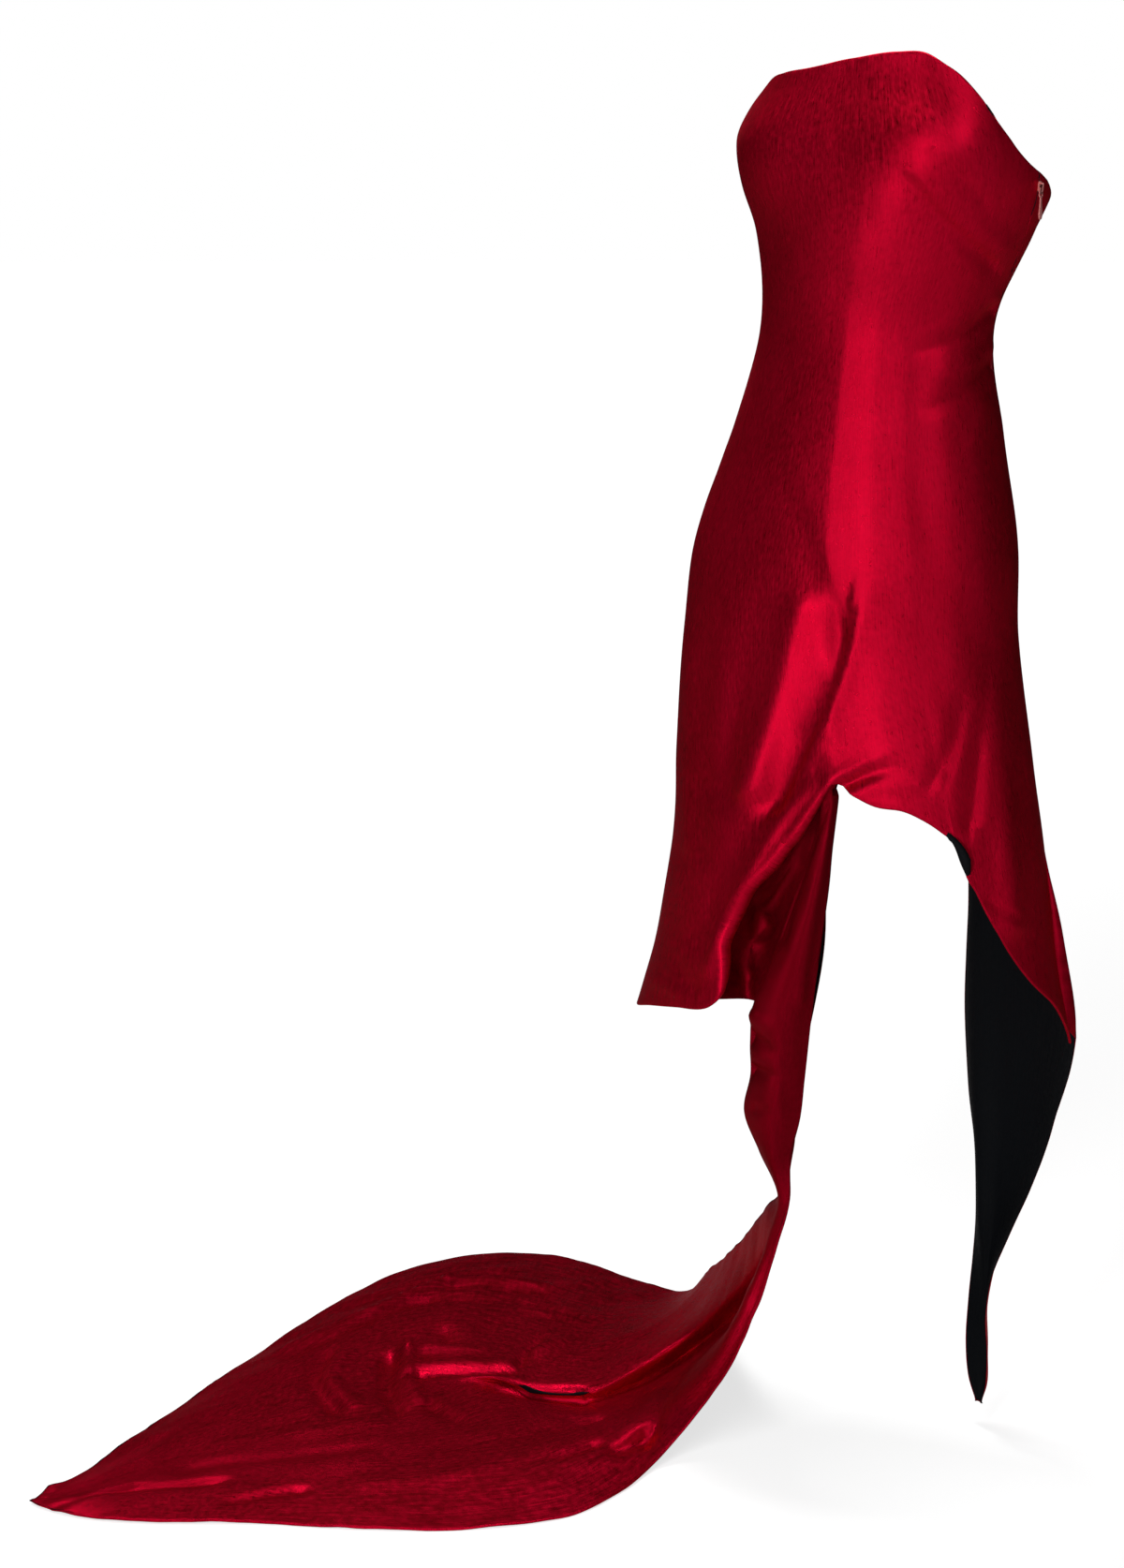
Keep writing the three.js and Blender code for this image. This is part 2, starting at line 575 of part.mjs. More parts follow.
// The slider: a rounded plate with a pinched waist and a narrower tail.
const plateShape = new THREE.Shape();
const plateHalf = SLIDER.wide / 2;
const endHalf = SLIDER.long / 2;
const plateSides = 24;
for (let k = 0; k < plateSides; k += 1) {
  const turn = (k / plateSides) * 2 * Math.PI;
  const narrow = (Math.sin(turn) > 0 ? 1 : SLIDER.tail) * (1 - SLIDER.waist * Math.cos(2 * turn) ** 2);
  const px = plateHalf * signedPower(Math.cos(turn), 0.7) * narrow;
  const py = endHalf * signedPower(Math.sin(turn), 0.7);
  if (k === 0) plateShape.moveTo(px, py);
  else plateShape.lineTo(px, py);
}
plateShape.closePath();
const plate = new THREE.ExtrudeGeometry(plateShape, { depth: SLIDER.plate, bevelEnabled: false });
// Drawn across (x) and up (y) and raised outward, so its axes are turned to out, across, up.
const plateTurn = new THREE.Matrix4().makeBasis(
  new THREE.Vector3(0, 1, 0),
  new THREE.Vector3(0, 0, 1),
  new THREE.Vector3(1, 0, 0),
);
plate.applyMatrix4(plateTurn);
plate.translate(SLIDER.clear, 0, 0);

// The arch along the plate, with the window that the pull hangs in.
const archShape = new THREE.Shape();
const windowHalf = ARCH.windowLong / 2;
const plateTop = SLIDER.clear + SLIDER.plate;
const archBase = plateTop - ARCH.sunk;
const archTop = plateTop + ARCH.windowHigh + ARCH.bar;
const footHalf = endHalf - ARCH.foot;
archShape.moveTo(archBase, -footHalf);
archShape.lineTo(archTop - ARCH.round, -footHalf);
archShape.quadraticCurveTo(archTop, -footHalf, archTop, -footHalf + ARCH.round * 1.5);
archShape.lineTo(archTop, footHalf - ARCH.round * 1.5);
archShape.quadraticCurveTo(archTop, footHalf, archTop - ARCH.round, footHalf);
archShape.lineTo(archBase, footHalf);
archShape.closePath();
const archHole = new THREE.Path();
archHole.moveTo(plateTop, -windowHalf);
archHole.lineTo(plateTop, windowHalf);
archHole.lineTo(archTop - ARCH.bar, windowHalf);
archHole.lineTo(archTop - ARCH.bar, -windowHalf);
archHole.closePath();
archShape.holes.push(archHole);
const archCut = { depth: ARCH.wide, bevelEnabled: false, curveSegments: 4 };
const arch = new THREE.ExtrudeGeometry(archShape, archCut);
// Drawn out (x) and up (y), with its width across.
const archTurn = new THREE.Matrix4().makeBasis(
  new THREE.Vector3(1, 0, 0),
  new THREE.Vector3(0, 0, 1),
  new THREE.Vector3(0, -1, 0),
);
arch.applyMatrix4(archTurn);
arch.translate(0, ARCH.wide / 2, 0);
const sliderGeometry = fromManifold(toManifold(plate).add(toManifold(arch))).applyMatrix4(sliderFrame);

// The pull tab hangs straight down from its round pin under the arch: x across, y up from the pin, z out.
const pinOut = plateTop + ARCH.windowHigh / 2;
const pinUp = -windowHalf + PULL.pin / 2 + 0.5;
const pinAt = new THREE.Vector3(pinOut, 0, pinUp).applyMatrix4(sliderFrame);
const ringHalf = PULL.ringWide / 2;
const dropHalf = PULL.dropWide / 2;
const dropTop = -PULL.long + dropHalf * 2;
const tab = new THREE.Shape();
tab.moveTo(-ringHalf, 0);
tab.lineTo(-ringHalf, -PULL.ringLong + 2.4);
tab.quadraticCurveTo(-ringHalf, -PULL.ringLong + 0.4, -PULL.neck, -PULL.ringLong);
tab.quadraticCurveTo(-PULL.neck, -PULL.ringLong - 4, -dropHalf, dropTop);
tab.quadraticCurveTo(-dropHalf, -PULL.long, 0, -PULL.long);
tab.quadraticCurveTo(dropHalf, -PULL.long, dropHalf, dropTop);
tab.quadraticCurveTo(PULL.neck, -PULL.ringLong - 4, PULL.neck, -PULL.ringLong);
tab.quadraticCurveTo(ringHalf, -PULL.ringLong + 0.4, ringHalf, -PULL.ringLong + 2.4);
tab.lineTo(ringHalf, 0);
tab.closePath();
const holeHalf = PULL.hole / 2;
const holeEnd = -PULL.ringLong + 1.5;
const ringHole = new THREE.Path();
ringHole.moveTo(-holeHalf, -PULL.pin / 4);
ringHole.lineTo(holeHalf, -PULL.pin / 4);
ringHole.lineTo(holeHalf, holeEnd + 1.5);
ringHole.quadraticCurveTo(holeHalf, holeEnd, 0, holeEnd);
ringHole.quadraticCurveTo(-holeHalf, holeEnd, -holeHalf, holeEnd + 1.5);
ringHole.closePath();
tab.holes.push(ringHole);
const tabCut = { depth: PULL.thick, bevelEnabled: false, curveSegments: 6 };
const tabGeometry = new THREE.ExtrudeGeometry(tab, tabCut);
tabGeometry.translate(0, 0, -PULL.thick / 2);
const pin = new THREE.CylinderGeometry(PULL.pin / 2, PULL.pin / 2, PULL.ringWide, 24);
pin.rotateZ(Math.PI / 2);
const acrossLevel = new THREE.Vector3(acrossZip.x, acrossZip.y, 0).normalize();
const upWorld = new THREE.Vector3(0, 0, 1);
const pullOut = acrossLevel.clone().cross(upWorld).normalize();
const pullFrame = new THREE.Matrix4().makeBasis(acrossLevel, upWorld, pullOut).setPosition(pinAt);
const pullGeometry = fromManifold(toManifold(tabGeometry).add(toManifold(pin))).applyMatrix4(pullFrame);

const satinMaterial = new THREE.MeshStandardMaterial({ color: 0xb00020, roughness: 0.4 });
const liningMaterial = new THREE.MeshStandardMaterial({ color: 0x0b0d12, roughness: 0.6 });
const metalMaterial = new THREE.MeshStandardMaterial({ color: 0xc8606a, roughness: 0.35, metalness: 0.8 });
const tapeMaterial = new THREE.MeshStandardMaterial({ color: 0x7a0a1c, roughness: 0.7 });

const group = new THREE.Group();
function addNode(name, geometry, material) {
  const mesh = new THREE.Mesh(geometry, material);
  mesh.name = name;
  group.add(mesh);
}
const liningOut = -SATIN - GAP;
// The panels' flat facets lie a little inside the curve, so the tape keeps clear of them.
const tapeOut = -SATIN - GAP - TAPE.clear;
const facingRows = 3;
const tailLiningRows = 4;
addNode("front_panel", front.wall(0, -SATIN), satinMaterial);
addNode("back_panel", back.wall(0, -SATIN), satinMaterial);
addNode(
  "front_facing",
  front.wall(liningOut, liningOut - LINING, (quad) => quad.row < facingRows),
  liningMaterial,
);
addNode(
  "tail_lining",
  back.wall(
    liningOut,
    liningOut - LINING,
    (quad) => quad.tag === "tail" || (quad.row < tailLiningRows && quad.column < tailColumns),
  ),
  liningMaterial,
);
addNode("drape_inset", inset.wall(0, -SATIN), satinMaterial);
addNode("train", train.wall(0, -SATIN), satinMaterial);
addNode("train_lining", train.wall(liningOut, liningOut - LINING), liningMaterial);
addNode("zip_tape", tape.wall(tapeOut, tapeOut - TAPE.thick), tapeMaterial);
addNode("zip_slider", sliderGeometry, metalMaterial);
addNode("zip_pull", pullGeometry, metalMaterial);

export default group;
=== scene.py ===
"""Strapless gown: satin tube with a raised hem, strip and floor train, lined tail and side zip."""

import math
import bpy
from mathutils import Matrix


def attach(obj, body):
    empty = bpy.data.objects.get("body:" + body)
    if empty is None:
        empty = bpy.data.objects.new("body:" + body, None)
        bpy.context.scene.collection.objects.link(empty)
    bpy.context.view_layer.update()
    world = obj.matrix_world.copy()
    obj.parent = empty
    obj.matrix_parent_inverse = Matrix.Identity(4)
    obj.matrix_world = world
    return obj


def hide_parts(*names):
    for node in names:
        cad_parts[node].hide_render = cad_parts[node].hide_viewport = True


bl_info = {
    "name": "Strapless gown",
    "version": (1, 0, 0),
    "blender": (4, 5, 0),
    "location": "3D View > Sidebar > Gown",
    "description": "Builds a worn strapless satin gown with a train over its packed frame",
    "category": "Add Mesh",
}

import bmesh
import bpy
import numpy as np
from bpy.props import FloatProperty, FloatVectorProperty, IntProperty, PointerProperty
from mathutils import Vector

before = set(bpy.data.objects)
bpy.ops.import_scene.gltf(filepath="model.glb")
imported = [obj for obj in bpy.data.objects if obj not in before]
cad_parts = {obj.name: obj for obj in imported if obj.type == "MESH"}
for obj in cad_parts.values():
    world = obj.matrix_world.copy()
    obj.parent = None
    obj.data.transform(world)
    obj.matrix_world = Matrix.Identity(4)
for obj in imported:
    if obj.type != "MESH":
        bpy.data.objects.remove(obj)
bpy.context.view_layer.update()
GOWN_BODY = "gown"
PULL_BODY = "pull_tab"

# Millimetres in the tables, heights above the floor. The frame is in metres with its origin at the bust, at
# HOLD_HEIGHT. Across and away are directions of a plan that is turned from the frame's X and Y by PLAN_TURN.
HOLD_HEIGHT = 1268.0
PLAN_TURN = math.radians(30)
# About the tube's girth for each degree, which lays the hidden sides' creases out flat.
MM_PER_DEGREE = 2.6


def table(names, *rows):
    """A table's columns by name."""
    return dict(zip(names.split(), np.array(rows, float).T))


# The tube's sections: half its width, its depth to the front and to the back of a middle at x and y, and how
# square it is (2 for an ellipse).
BODY = table(
    "height half front back x y square",
    (400, 237, 160, 140, -9, 2, 2.0),
    (500, 209, 150, 132, -7, 4, 2.0),
    (600, 190, 138, 124, -6, 6, 2.1),
    (700, 180, 128, 118, -14, 8, 2.1),
    (820, 166, 118, 112, -21, 10, 2.2),
    (900, 160, 112, 106, -17, 10, 2.2),
    (1010, 131, 98, 92, -3, 6, 2.2),
    (1105, 112, 84, 78, 8.5, 0, 2.2),
    (1190, 133, 92, 84, 28, -6, 2.2),
    (1230, 148, 96, 87, 32, -7, 2.2),
    (1270, 150, 98, 90, 34, -8, 2.2),
    (1330, 130, 92, 84, 34, -6, 2.2),
    (1375, 126, 84, 78, 34, -6, 2.2),
)
# The two cups and the cloth that spans them stand out from the tube.
CUPS = {"angle": 38, "spread": 26, "height": 1268, "rise": 48, "out": 17}
SPAN = {"angle": 10, "spread": 30, "height": 1225, "rise": 75, "out": 9}
NECK = table(
    "angle height",
    (-90, 1226), (-75, 1252), (-62, 1284), (-52, 1309), (-43, 1327), (-33, 1332), (-17, 1336), (0, 1343),
    (17, 1348), (29, 1347), (38, 1337), (46, 1325), (52, 1308), (57, 1286), (64, 1268), (73, 1254),
    (88, 1240), (98, 1230), (125, 1214), (180, 1205), (235, 1208), (270, 1226),
)
# The left seam's angle by height. SEAM_TOP is its angle at the neckline.
SEAM_TOP = 82.5
LEFT_SEAM = table(
    "height angle",
    (400, 111), (600, 107), (800, 103), (950, 104.5), (1060, 105.5), (1120, 102), (1170, 94.6), (1210, 87.5),
    (1245, 82.5),
)
# The hems, by length along them. Roll is the radius of the front hem's turned edge, below 0 if it turns out.
FRONT_HEM = table(
    "along angle height roll",
    (0, -90, 430, 1), (80, -67, 437, 1), (148, -47.5, 452, 1), (198, -33, 462, 1), (236, -21, 470, 1),
    (252, -17.4, 479, 2), (265, -16.2, 490, 5), (295, -16.2, 518, 9), (330, -15.4, 554, 10),
    (364, -10, 582, 10), (395, -4, 606, 10), (444, 4, 646, 8), (478, 11.5, 680, 5), (500, 16.5, 695, 2),
    (522, 22, 685, 1), (546, 28.5, 677, 1), (574, 37, 674, 1), (598, 43.5, 666, 1), (622, 49, 656, 1),
    (640, 53, 646, -1.5), (658, 55, 630, -4.5), (676, 57.4, 613, 1), (692, 60, 602, 1), (744, 67.5, 562, 1),
    (810, 80, 514, 1), (874, 96, 478, 1), (934, 110.2, 440, 1),
)
BACK_HEM = table(
    "along angle height",
    (0, 106.6, 620), (180, 163, 620), (225, 177, 630), (285, 194, 654), (325, 206, 652), (400, 226, 590),
    (480, 248, 478), (545, 270, 430),
)
# The tail hangs free of the front panel below this height.
SEAM_END = 446
# The two panels' seam edges: the gap between them, the radius of their quarter turn and the flat after it.
SEAM_GAP = 0.7
SEAM_RADIUS = 0.6
SEAM_FLAT = 0.3
# The tail's rows by height: across and away of its seam edge, two fullnesses, its crease and its free edge.
TAIL_PLACES = ("seam", "full", "inner", "crease", "free")
TAIL = table(
    "height seam_x seam_y full_x full_y inner_x inner_y crease_x crease_y free_x free_y",
    (540, 192, -54, 182, 8, 152, 54, 116, 84, 108, 100),
    (443, 206, -50, 189, 14, 152, 60, 116, 88, 107, 108),
    (350, 191, -12, 179, 34, 148, 70, 119, 88, 113, 110),
    (285, 176, 12, 167, 46, 145, 73, 123, 86, 121, 110),
    (221, 155, 35, 153, 60, 141, 80, 126, 85, 124, 110),
    (172, 139, 47, 141, 66, 138, 83, 130, 88, 122, 107),
    (128, 134, 56, 136, 70, 136, 82, 131, 90, 118, 104),
    (86, 136, 63, 137, 73, 137, 83, 130, 88, 116, 99),
    (50, 136, 69, 138, 77, 135, 84, 128, 87, 119, 94),
    (26, 132, 75, 131.5, 77.5, 130.5, 79.5, 129, 81.5, 127, 84),
)
# The train from the pinch to its tip: across, away and height of its near edge, swell, valley, crest,
# far swell and far edge.
TRAIN = np.array([
    ((-14, -104, 712), (-22, -110, 712), (-30, -107, 712), (-31, -99, 712), (-24, -95, 712), (-13, -95, 712)),
    ((-20, -102, 672), (-27, -110, 672), (-35, -105, 672), (-36, -96, 672), (-28, -91, 672), (-26, -92, 672)),
    ((-24, -98, 630), (-33, -108, 630), (-43, -101, 630), (-44, -90, 630), (-34, -84, 630), (-31, -86, 630)),
    ((-28, -92, 580), (-43, -106, 580), (-58, -94, 580), (-59, -82, 580), (-44, -74, 580), (-30, -80, 580)),
    ((-34, -88, 530), (-56, -104, 530), (-74, -88, 530), (-75, -74, 530), (-54, -66, 530), (-31, -73, 530)),
    ((-40, -84, 480), (-66, -102, 480), (-92, -82, 480), (-93, -68, 480), (-64, -58, 480), (-38, -67, 480)),
    ((-44, -80, 436), (-72, -100, 436), (-96, -78, 436), (-97, -62, 436), (-68, -50, 436), (-46, -61, 436)),
    ((-47, -78, 404), (-73, -96, 404), (-96, -74, 404), (-97, -56, 404), (-70, -44, 404), (-51, -55, 404)),
    ((-51, -76, 364), (-79, -92, 364), (-101, -67, 364), (-103, -47, 364), (-75, -34, 364), (-55, -47, 364)),
    ((-59, -74, 326), (-78, -82, 325), (-89, -56, 323), (-91, -34, 320), (-80, -10, 318), (-58, -14, 316)),
    ((-61, -71, 284), (-71, -62, 280), (-72, -38, 274), (-73, -12, 267), (-73, 14, 262), (-69, 42, 256)),
    ((-69, -66, 248), (-80, -50, 240), (-82, -16, 212), (-84, 14, 222), (-86, 50, 228), (-86, 84, 225)),
    ((-80, -58, 205), (-98, -36, 186), (-92, 72, 134), (-97, 62, 170), (-102, 118, 182), (-105, 152, 176)),
    ((-96, -50, 155), (-120, -20, 132), (-112, 130, 94), (-118, 104, 128), (-124, 185, 130),
     (-130, 240, 119)),
    ((-120, -42, 98), (-152, 0, 78), (-158, 176, 36), (-166, 154, 62), (-162, 255, 66), (-157, 352, 59)),
    ((-150, -35, 48), (-188, 12, 38), (-206, 142, 11), (-213, 138, 34), (-205, 270, 34), (-181, 420, 10)),
    ((-184, -58, 12), (-222, -5, 24), (-254, 86, 8), (-260, 98, 24), (-262, 255, 22), (-228, 456, 4)),
    ((-215, -121, 4), (-262, -50, 21), (-312, 84, 8), (-316, 102, 18), (-315, 270, 20), (-285, 503, 4)),
    ((-262, -184, 4), (-310, -95, 17), (-366, 112, 9), (-370, 138, 17), (-365, 310, 15), (-345, 543, 4)),
    ((-352, -221, 4), (-390, -120, 14), (-425, 50, 10), (-430, 150, 13), (-425, 320, 18), (-408, 547, 4)),
    ((-450, -230, 4), (-468, -135, 12), (-480, 10, 12), (-482, 130, 11), (-480, 300, 17), (-484, 504, 4)),
    ((-551, -227, 4), (-552, -145, 11), (-553, -20, 9), (-555, 90, 12), (-555, 243, 13), (-552, 411, 4)),
    ((-651, -235, 4), (-650, -172, 10), (-648, -90, 8), (-646, -20, 11), (-645, 73, 10), (-642, 172, 4)),
    ((-715, -230, 4), (-712, -197, 8), (-710, -160, 7), (-708, -128, 8), (-706, -82, 7), (-704, -17, 4)),
    ((-757, -213, 4), (-755, -203, 5), (-753, -194, 5), (-751, -184, 5), (-748, -166, 5), (-744, -134, 4)),
    ((-774, -200, 4), (-773, -197, 4), (-771, -195, 4), (-770, -192, 4), (-768, -182, 4), (-766, -164, 4)),
], float)
# The inset from the lip to the strip: where it is sewn behind the lip, its pocket and its last fold.
INSET = table(
    "angle height pocket_x pocket_y pocket_z fold_x fold_y fold_z",
    (8, 678, -38, -98, 678, -34, -89, 678),
    (1, 646, -50, -84, 646, -38, -84, 646),
    (-6, 612, -66, -66, 610, -46, -78, 608),
    (-13, 580, -82, -50, 576, -58, -71, 570),
    (-18, 550, -95, -38, 544, -70, -66, 534),
    (-20, 520, -104, -38, 512, -82, -61, 500),
    (-19.5, 480, -107, -46, 472, -91, -57, 472),
)
# How far inside the tube's outer face the inset and the strip are sewn on, and the strip's place there.
SEAT = 3.6
STRIP_SEAT = SEAT + 0.4
STRIP_ANGLE = 16.0
STRIP_TOP = 712.0

# The strip and the inset get painted shade, a darker satin colour with a little more roughness; on the strip
# it fades out over PAINTED_SHADE_FADE down to STRIP_END.
STRIP_END = 200
PAINTED_SHADE_FADE = 120
STRIP_PAINTED_SHADE = 0.7
INSET_PAINTED_SHADE = 0.8

# The train lies on the floor below LYING_FROM, where it comes to rest over LYING_FADE.
LYING_FROM = 330
LYING_FADE = 120
FLOOR_GAP = 2.2

# The zip: its ends, its tape's half width, how deep the tape and the coil lie, and the wire of the coil.
ZIP_FOOT = 905
ZIP_TOP = 1236
COIL_TOP = 1226
SLIDER_HEIGHT = 1232
TAPE_HALF = 4.5
TAPE_DEPTH = 3.1
COIL_DEPTH = 2.1
LINK_RADIUS_M = 0.0008
WIRE_RADIUS_M = 0.0002

# How thick the slider and its pull are, and the pull's pin: its place out from and below the slider's middle,
# its radius and its length.
SLIDER_THICK = 1.6
PULL_THICK = 1.2
PIN_OUT = 2.3
PIN_DOWN = 1.5
PIN_RADIUS = 0.6
PIN_LENGTH = 5

# The eye's place and the point that it looks at, in the turned plan: across, away and height.
EYE = (0.0, -3000.0, 1250.0)
LOOK_AT = (-285.0, 0.0, 668.0)
LENS_MM = 73.55
SENSOR_MM = 36
FLOOR_REACH_M = 40

# The lights: place and what each faces, in the plan, width and height in metres, and share of the key power.
CHEST = (0, 0, 900)
TRAIN_MIDDLE = (-400, 50, 0)
LIGHTS = (
    ("key", (-750, -2600, 1800), CHEST, (0.35, 3.2), 1.25),
    ("right fill", (1150, -2500, 1300), CHEST, (1.3, 3.0), 0.13),
    ("back light", (-1500, 2300, 1700), TRAIN_MIDDLE, (1.4, 1.0), 0.03),
    ("train light", (-300, 250, 2600), TRAIN_MIDDLE, (0.5, 0.5), 0.60),
)

# Creases of the tube and the strip, as seen on a plane through the body's axis that faces the eye: across and
# height of three points, the crease's width, how far it stands out (below 0 a trough), how much steeper its
# upper side is, and its strength at its first and last point.
CREASES = table(
    "x1 z1 x2 z2 x3 z3 width out lean first last",
    (34, 1236, 66, 1200, 111, 1162, 7, -4.0, 1.6, 0.5, 1.0),
    (44, 1246, 78, 1212, 118, 1178, 11, 2.6, 1.0, 0.4, 1.0),
    (56, 1262, 78, 1242, 103, 1219, 5, -2.0, 1.2, 0.6, 0.8),
    (113, 1117, 88, 1097, 50, 1080, 6, -4.4, 1.6, 1.0, 0.3),
    (114, 1127, 86, 1108, 48, 1092, 8, 2.4, 1.0, 1.0, 0.2),
    (114, 1084, 92, 1070, 62, 1060, 9, 2.2, 1.0, 1.0, 0.4),
    (114, 1069, 90, 1042, 56, 1026, 7, -4.0, 1.5, 1.0, 0.3),
    (110, 1030, 107, 1018, 100, 1004, 8, 2.4, 1.0, 1.0, 0.5),
    (-64, 930, -50, 890, -22, 812, 14, -3.0, 1.4, 0.5, 1.0),
    (-16, 838, -36, 755, -84, 652, 12, -9.0, 1.6, 0.4, 1.0),
    (-62, 838, -82, 752, -106, 667, 13, 8.0, 1.0, 0.6, 0.9),
    (-98, 838, -118, 752, -142, 668, 15, -4.0, 1.0, 0.5, 0.9),
    (2, 860, -18, 790, -44, 728, 14, 3.0, 1.0, 0.5, 1.0),
    (-118, 800, -122, 730, -128, 660, 12, -2.5, 1.0, 0.3, 1.0),
    (-20, 672, 5, 684, 28, 691, 5, -7.0, 1.8, 1.2, 0.3),
    (-16, 682, 6, 696, 26, 704, 7, 3.0, 1.0, 1.0, 0.3),
    (-18, 664, 14, 672, 52, 672, 6, 1.8, 1.0, 1.0, 0.3),
    (-30, 675, -29, 676, -28, 677, 7, 2.6, 1.0, 1.0, 1.0),
    (-52, 691, -51, 683, -50, 675, 4, 1.8, 1.0, 0.8, 1.0),
    (-35, 714, -30, 708, -25, 705, 5, -1.2, 1.0, 0.6, 1.0),
    (96, 752, 88, 712, 74, 680, 9, -3.0, 1.4, 0.6, 1.0),
    (120, 800, 112, 716, 107, 640, 9, -3.6, 1.4, 0.3, 1.0),
    (128, 760, 134, 670, 146, 540, 12, 6.0, 1.0, 0.2, 1.0),
    (126, 562, 138, 552, 150, 544, 5, -2.0, 1.3, 1.0, 0.6),
    (-164, 800, -166, 700, -165, 610, 7, 3.2, 1.0, 0.6, 0.6),
    (-148, 820, -150, 700, -150, 600, 9, -2.0, 1.0, 0.6, 0.6),
    (-45, 670, -75, 635, -142, 490, 8, 3.0, 1.0, 0.8, 1.0),
    (-30, 668, -45, 645, -62, 618, 5, 2.4, 1.0, 1.0, 0.6),
    (-50, 684, -112, 618, -156, 520, 13, -3.4, 1.0, 0.9, 0.8),
    (-196, 476, -184, 470, -172, 463, 5, 1.6, 1.0, 0.8, 0.8),
    (-178, 500, -170, 488, -160, 470, 6, -1.6, 1.0, 0.4, 0.9),
    (-30, 655, -53, 590, -72, 520, 5, -2.6, 1.3, 0.6, 1.0),
    (-34, 620, -47, 530, -55, 462, 6, 2.2, 1.0, 0.4, 1.0),
    (-62, 470, -68, 420, -66, 360, 7, -2.6, 1.0, 0.7, 0.5),
    (-106, 428, -88, 414, -74, 404, 6, -6.0, 1.3, 1.0, 0.2),
    (-104, 446, -90, 436, -78, 430, 6, 3.5, 1.0, 1.0, 0.2),
    (-104, 392, -88, 386, -74, 382, 6, -6.0, 1.3, 1.0, 0.2),
    (-98, 350, -84, 346, -74, 332, 6, -2.2, 1.3, 1.0, 0.3),
)
# Creases of the inset, in the pocket between the lip and the strip.
POCKET_CREASES = table(
    "x1 z1 x2 z2 x3 z3 width out lean first last",
    (-108, 568, -99, 550, -88, 532, 8, -6.0, 1.3, 0.8, 1.0),
    (-128, 522, -116, 500, -104, 482, 8, -6.5, 1.3, 0.8, 1.0),
    (-98, 510, -95, 492, -92, 474, 9, 4.0, 1.0, 0.7, 1.0),
    (-68, 592, -86, 568, -108, 545, 8, 5.0, 1.0, 0.8, 1.0),
    (-58, 622, -76, 598, -92, 580, 8, -4.5, 1.2, 0.5, 1.0),
    (-122, 548, -110, 530, -98, 514, 8, 5.0, 1.0, 0.8, 0.8),
)
# Creases of the train on the floor, across and away.
FLOOR_CREASES = table(
    "x1 z1 x2 z2 x3 z3 width out lean first last",
    (-600, 205, -530, 310, -455, 420, 9, 8.0, 1.5, 0.5, 1.0),
    (-560, 335, -490, 410, -400, 462, 10, -6.0, 1.2, 0.5, 1.0),
    (-590, 175, -515, 300, -470, 350, 8, -5.0, 1.2, 0.5, 1.0),
    (-485, 345, -450, 358, -400, 355, 7, -6.0, 1.3, 0.7, 1.0),
    (-455, 425, -390, 432, -340, 420, 8, 6.0, 1.4, 0.8, 0.8),
    (-450, 400, -400, 405, -345, 402, 7, -6.0, 1.2, 0.8, 0.8),
    (-385, 370, -340, 336, -300, 303, 6, -6.0, 1.2, 0.5, 1.0),
    (-375, 355, -335, 322, -300, 296, 5, 5.0, 1.0, 0.5, 1.0),
    (-360, 320, -335, 302, -302, 290, 5, -4.0, 1.2, 0.8, 1.0),
    (-436, 252, -430, 240, -426, 228, 10, -7.0, 1.2, 0.8, 0.8),
    (-395, 262, -385, 285, -372, 292, 8, -5.0, 1.2, 0.8, 0.8),
    (-346, 159, -343, 191, -332, 226, 6, -7.0, 1.3, 1.0, 0.6),
    (-330, 188, -320, 205, -310, 216, 11, 6.0, 1.0, 0.9, 0.9),
    (-550, 185, -554, 113, -519, 39, 8, -9.0, 1.4, 0.8, 0.8),
    (-535, 180, -538, 115, -500, 45, 9, 6.0, 1.0, 0.8, 0.6),
    (-484, 181, -475, 102, -452, 35, 8, -9.0, 1.4, 0.9, 0.7),
    (-466, 195, -458, 130, -436, 60, 8, 8.0, 1.0, 1.0, 0.5),
    (-470, 200, -440, 206, -390, 203, 9, 6.0, 1.0, 1.0, 0.5),
    (-456, 130, -426, 146, -350, 140, 7, -8.0, 1.4, 1.0, 0.6),
    (-450, 152, -420, 166, -355, 158, 9, 5.0, 1.0, 1.0, 0.6),
    (-375, 120, -350, 106, -275, 88, 7, -6.0, 1.4, 0.5, 1.0),
    (-426, 58, -409, 39, -392, 21, 9, -6.0, 1.2, 0.8, 0.8),
    (-691, -176, -648, -165, -606, -152, 7, -5.0, 1.3, 0.4, 1.0),
    (-583, -192, -552, -176, -521, -160, 7, -5.0, 1.3, 0.5, 1.0),
    (-745, -212, -715, -187, -683, -168, 6, -3.0, 1.3, 0.5, 1.0),
    (-295, -6, -274, 5, -254, 24, 7, -7.0, 1.3, 0.5, 1.0),
    (-281, -85, -264, -67, -248, -47, 7, -6.0, 1.3, 0.5, 1.0),
    (-227, -54, -215, -42, -201, -24, 9, -5.5, 1.3, 1.0, 0.8),
    (-200, -33, -183, 31, -178, 71, 9, -5.0, 1.3, 1.0, 0.8),
    (-217, -20, -202, 35, -194, 75, 11, 3.5, 1.0, 0.8, 0.8),
    (-620, -60, -560, -30, -480, 0, 14, 4.0, 1.0, 0.6, 0.6),
    (-640, -120, -560, -90, -470, -60, 12, -3.5, 1.2, 0.6, 0.8),
    (-450, -150, -370, -120, -290, -60, 15, 4.5, 1.0, 0.5, 0.8),
    (-400, -60, -340, -30, -280, 20, 14, -4.0, 1.2, 0.6, 0.8),
)
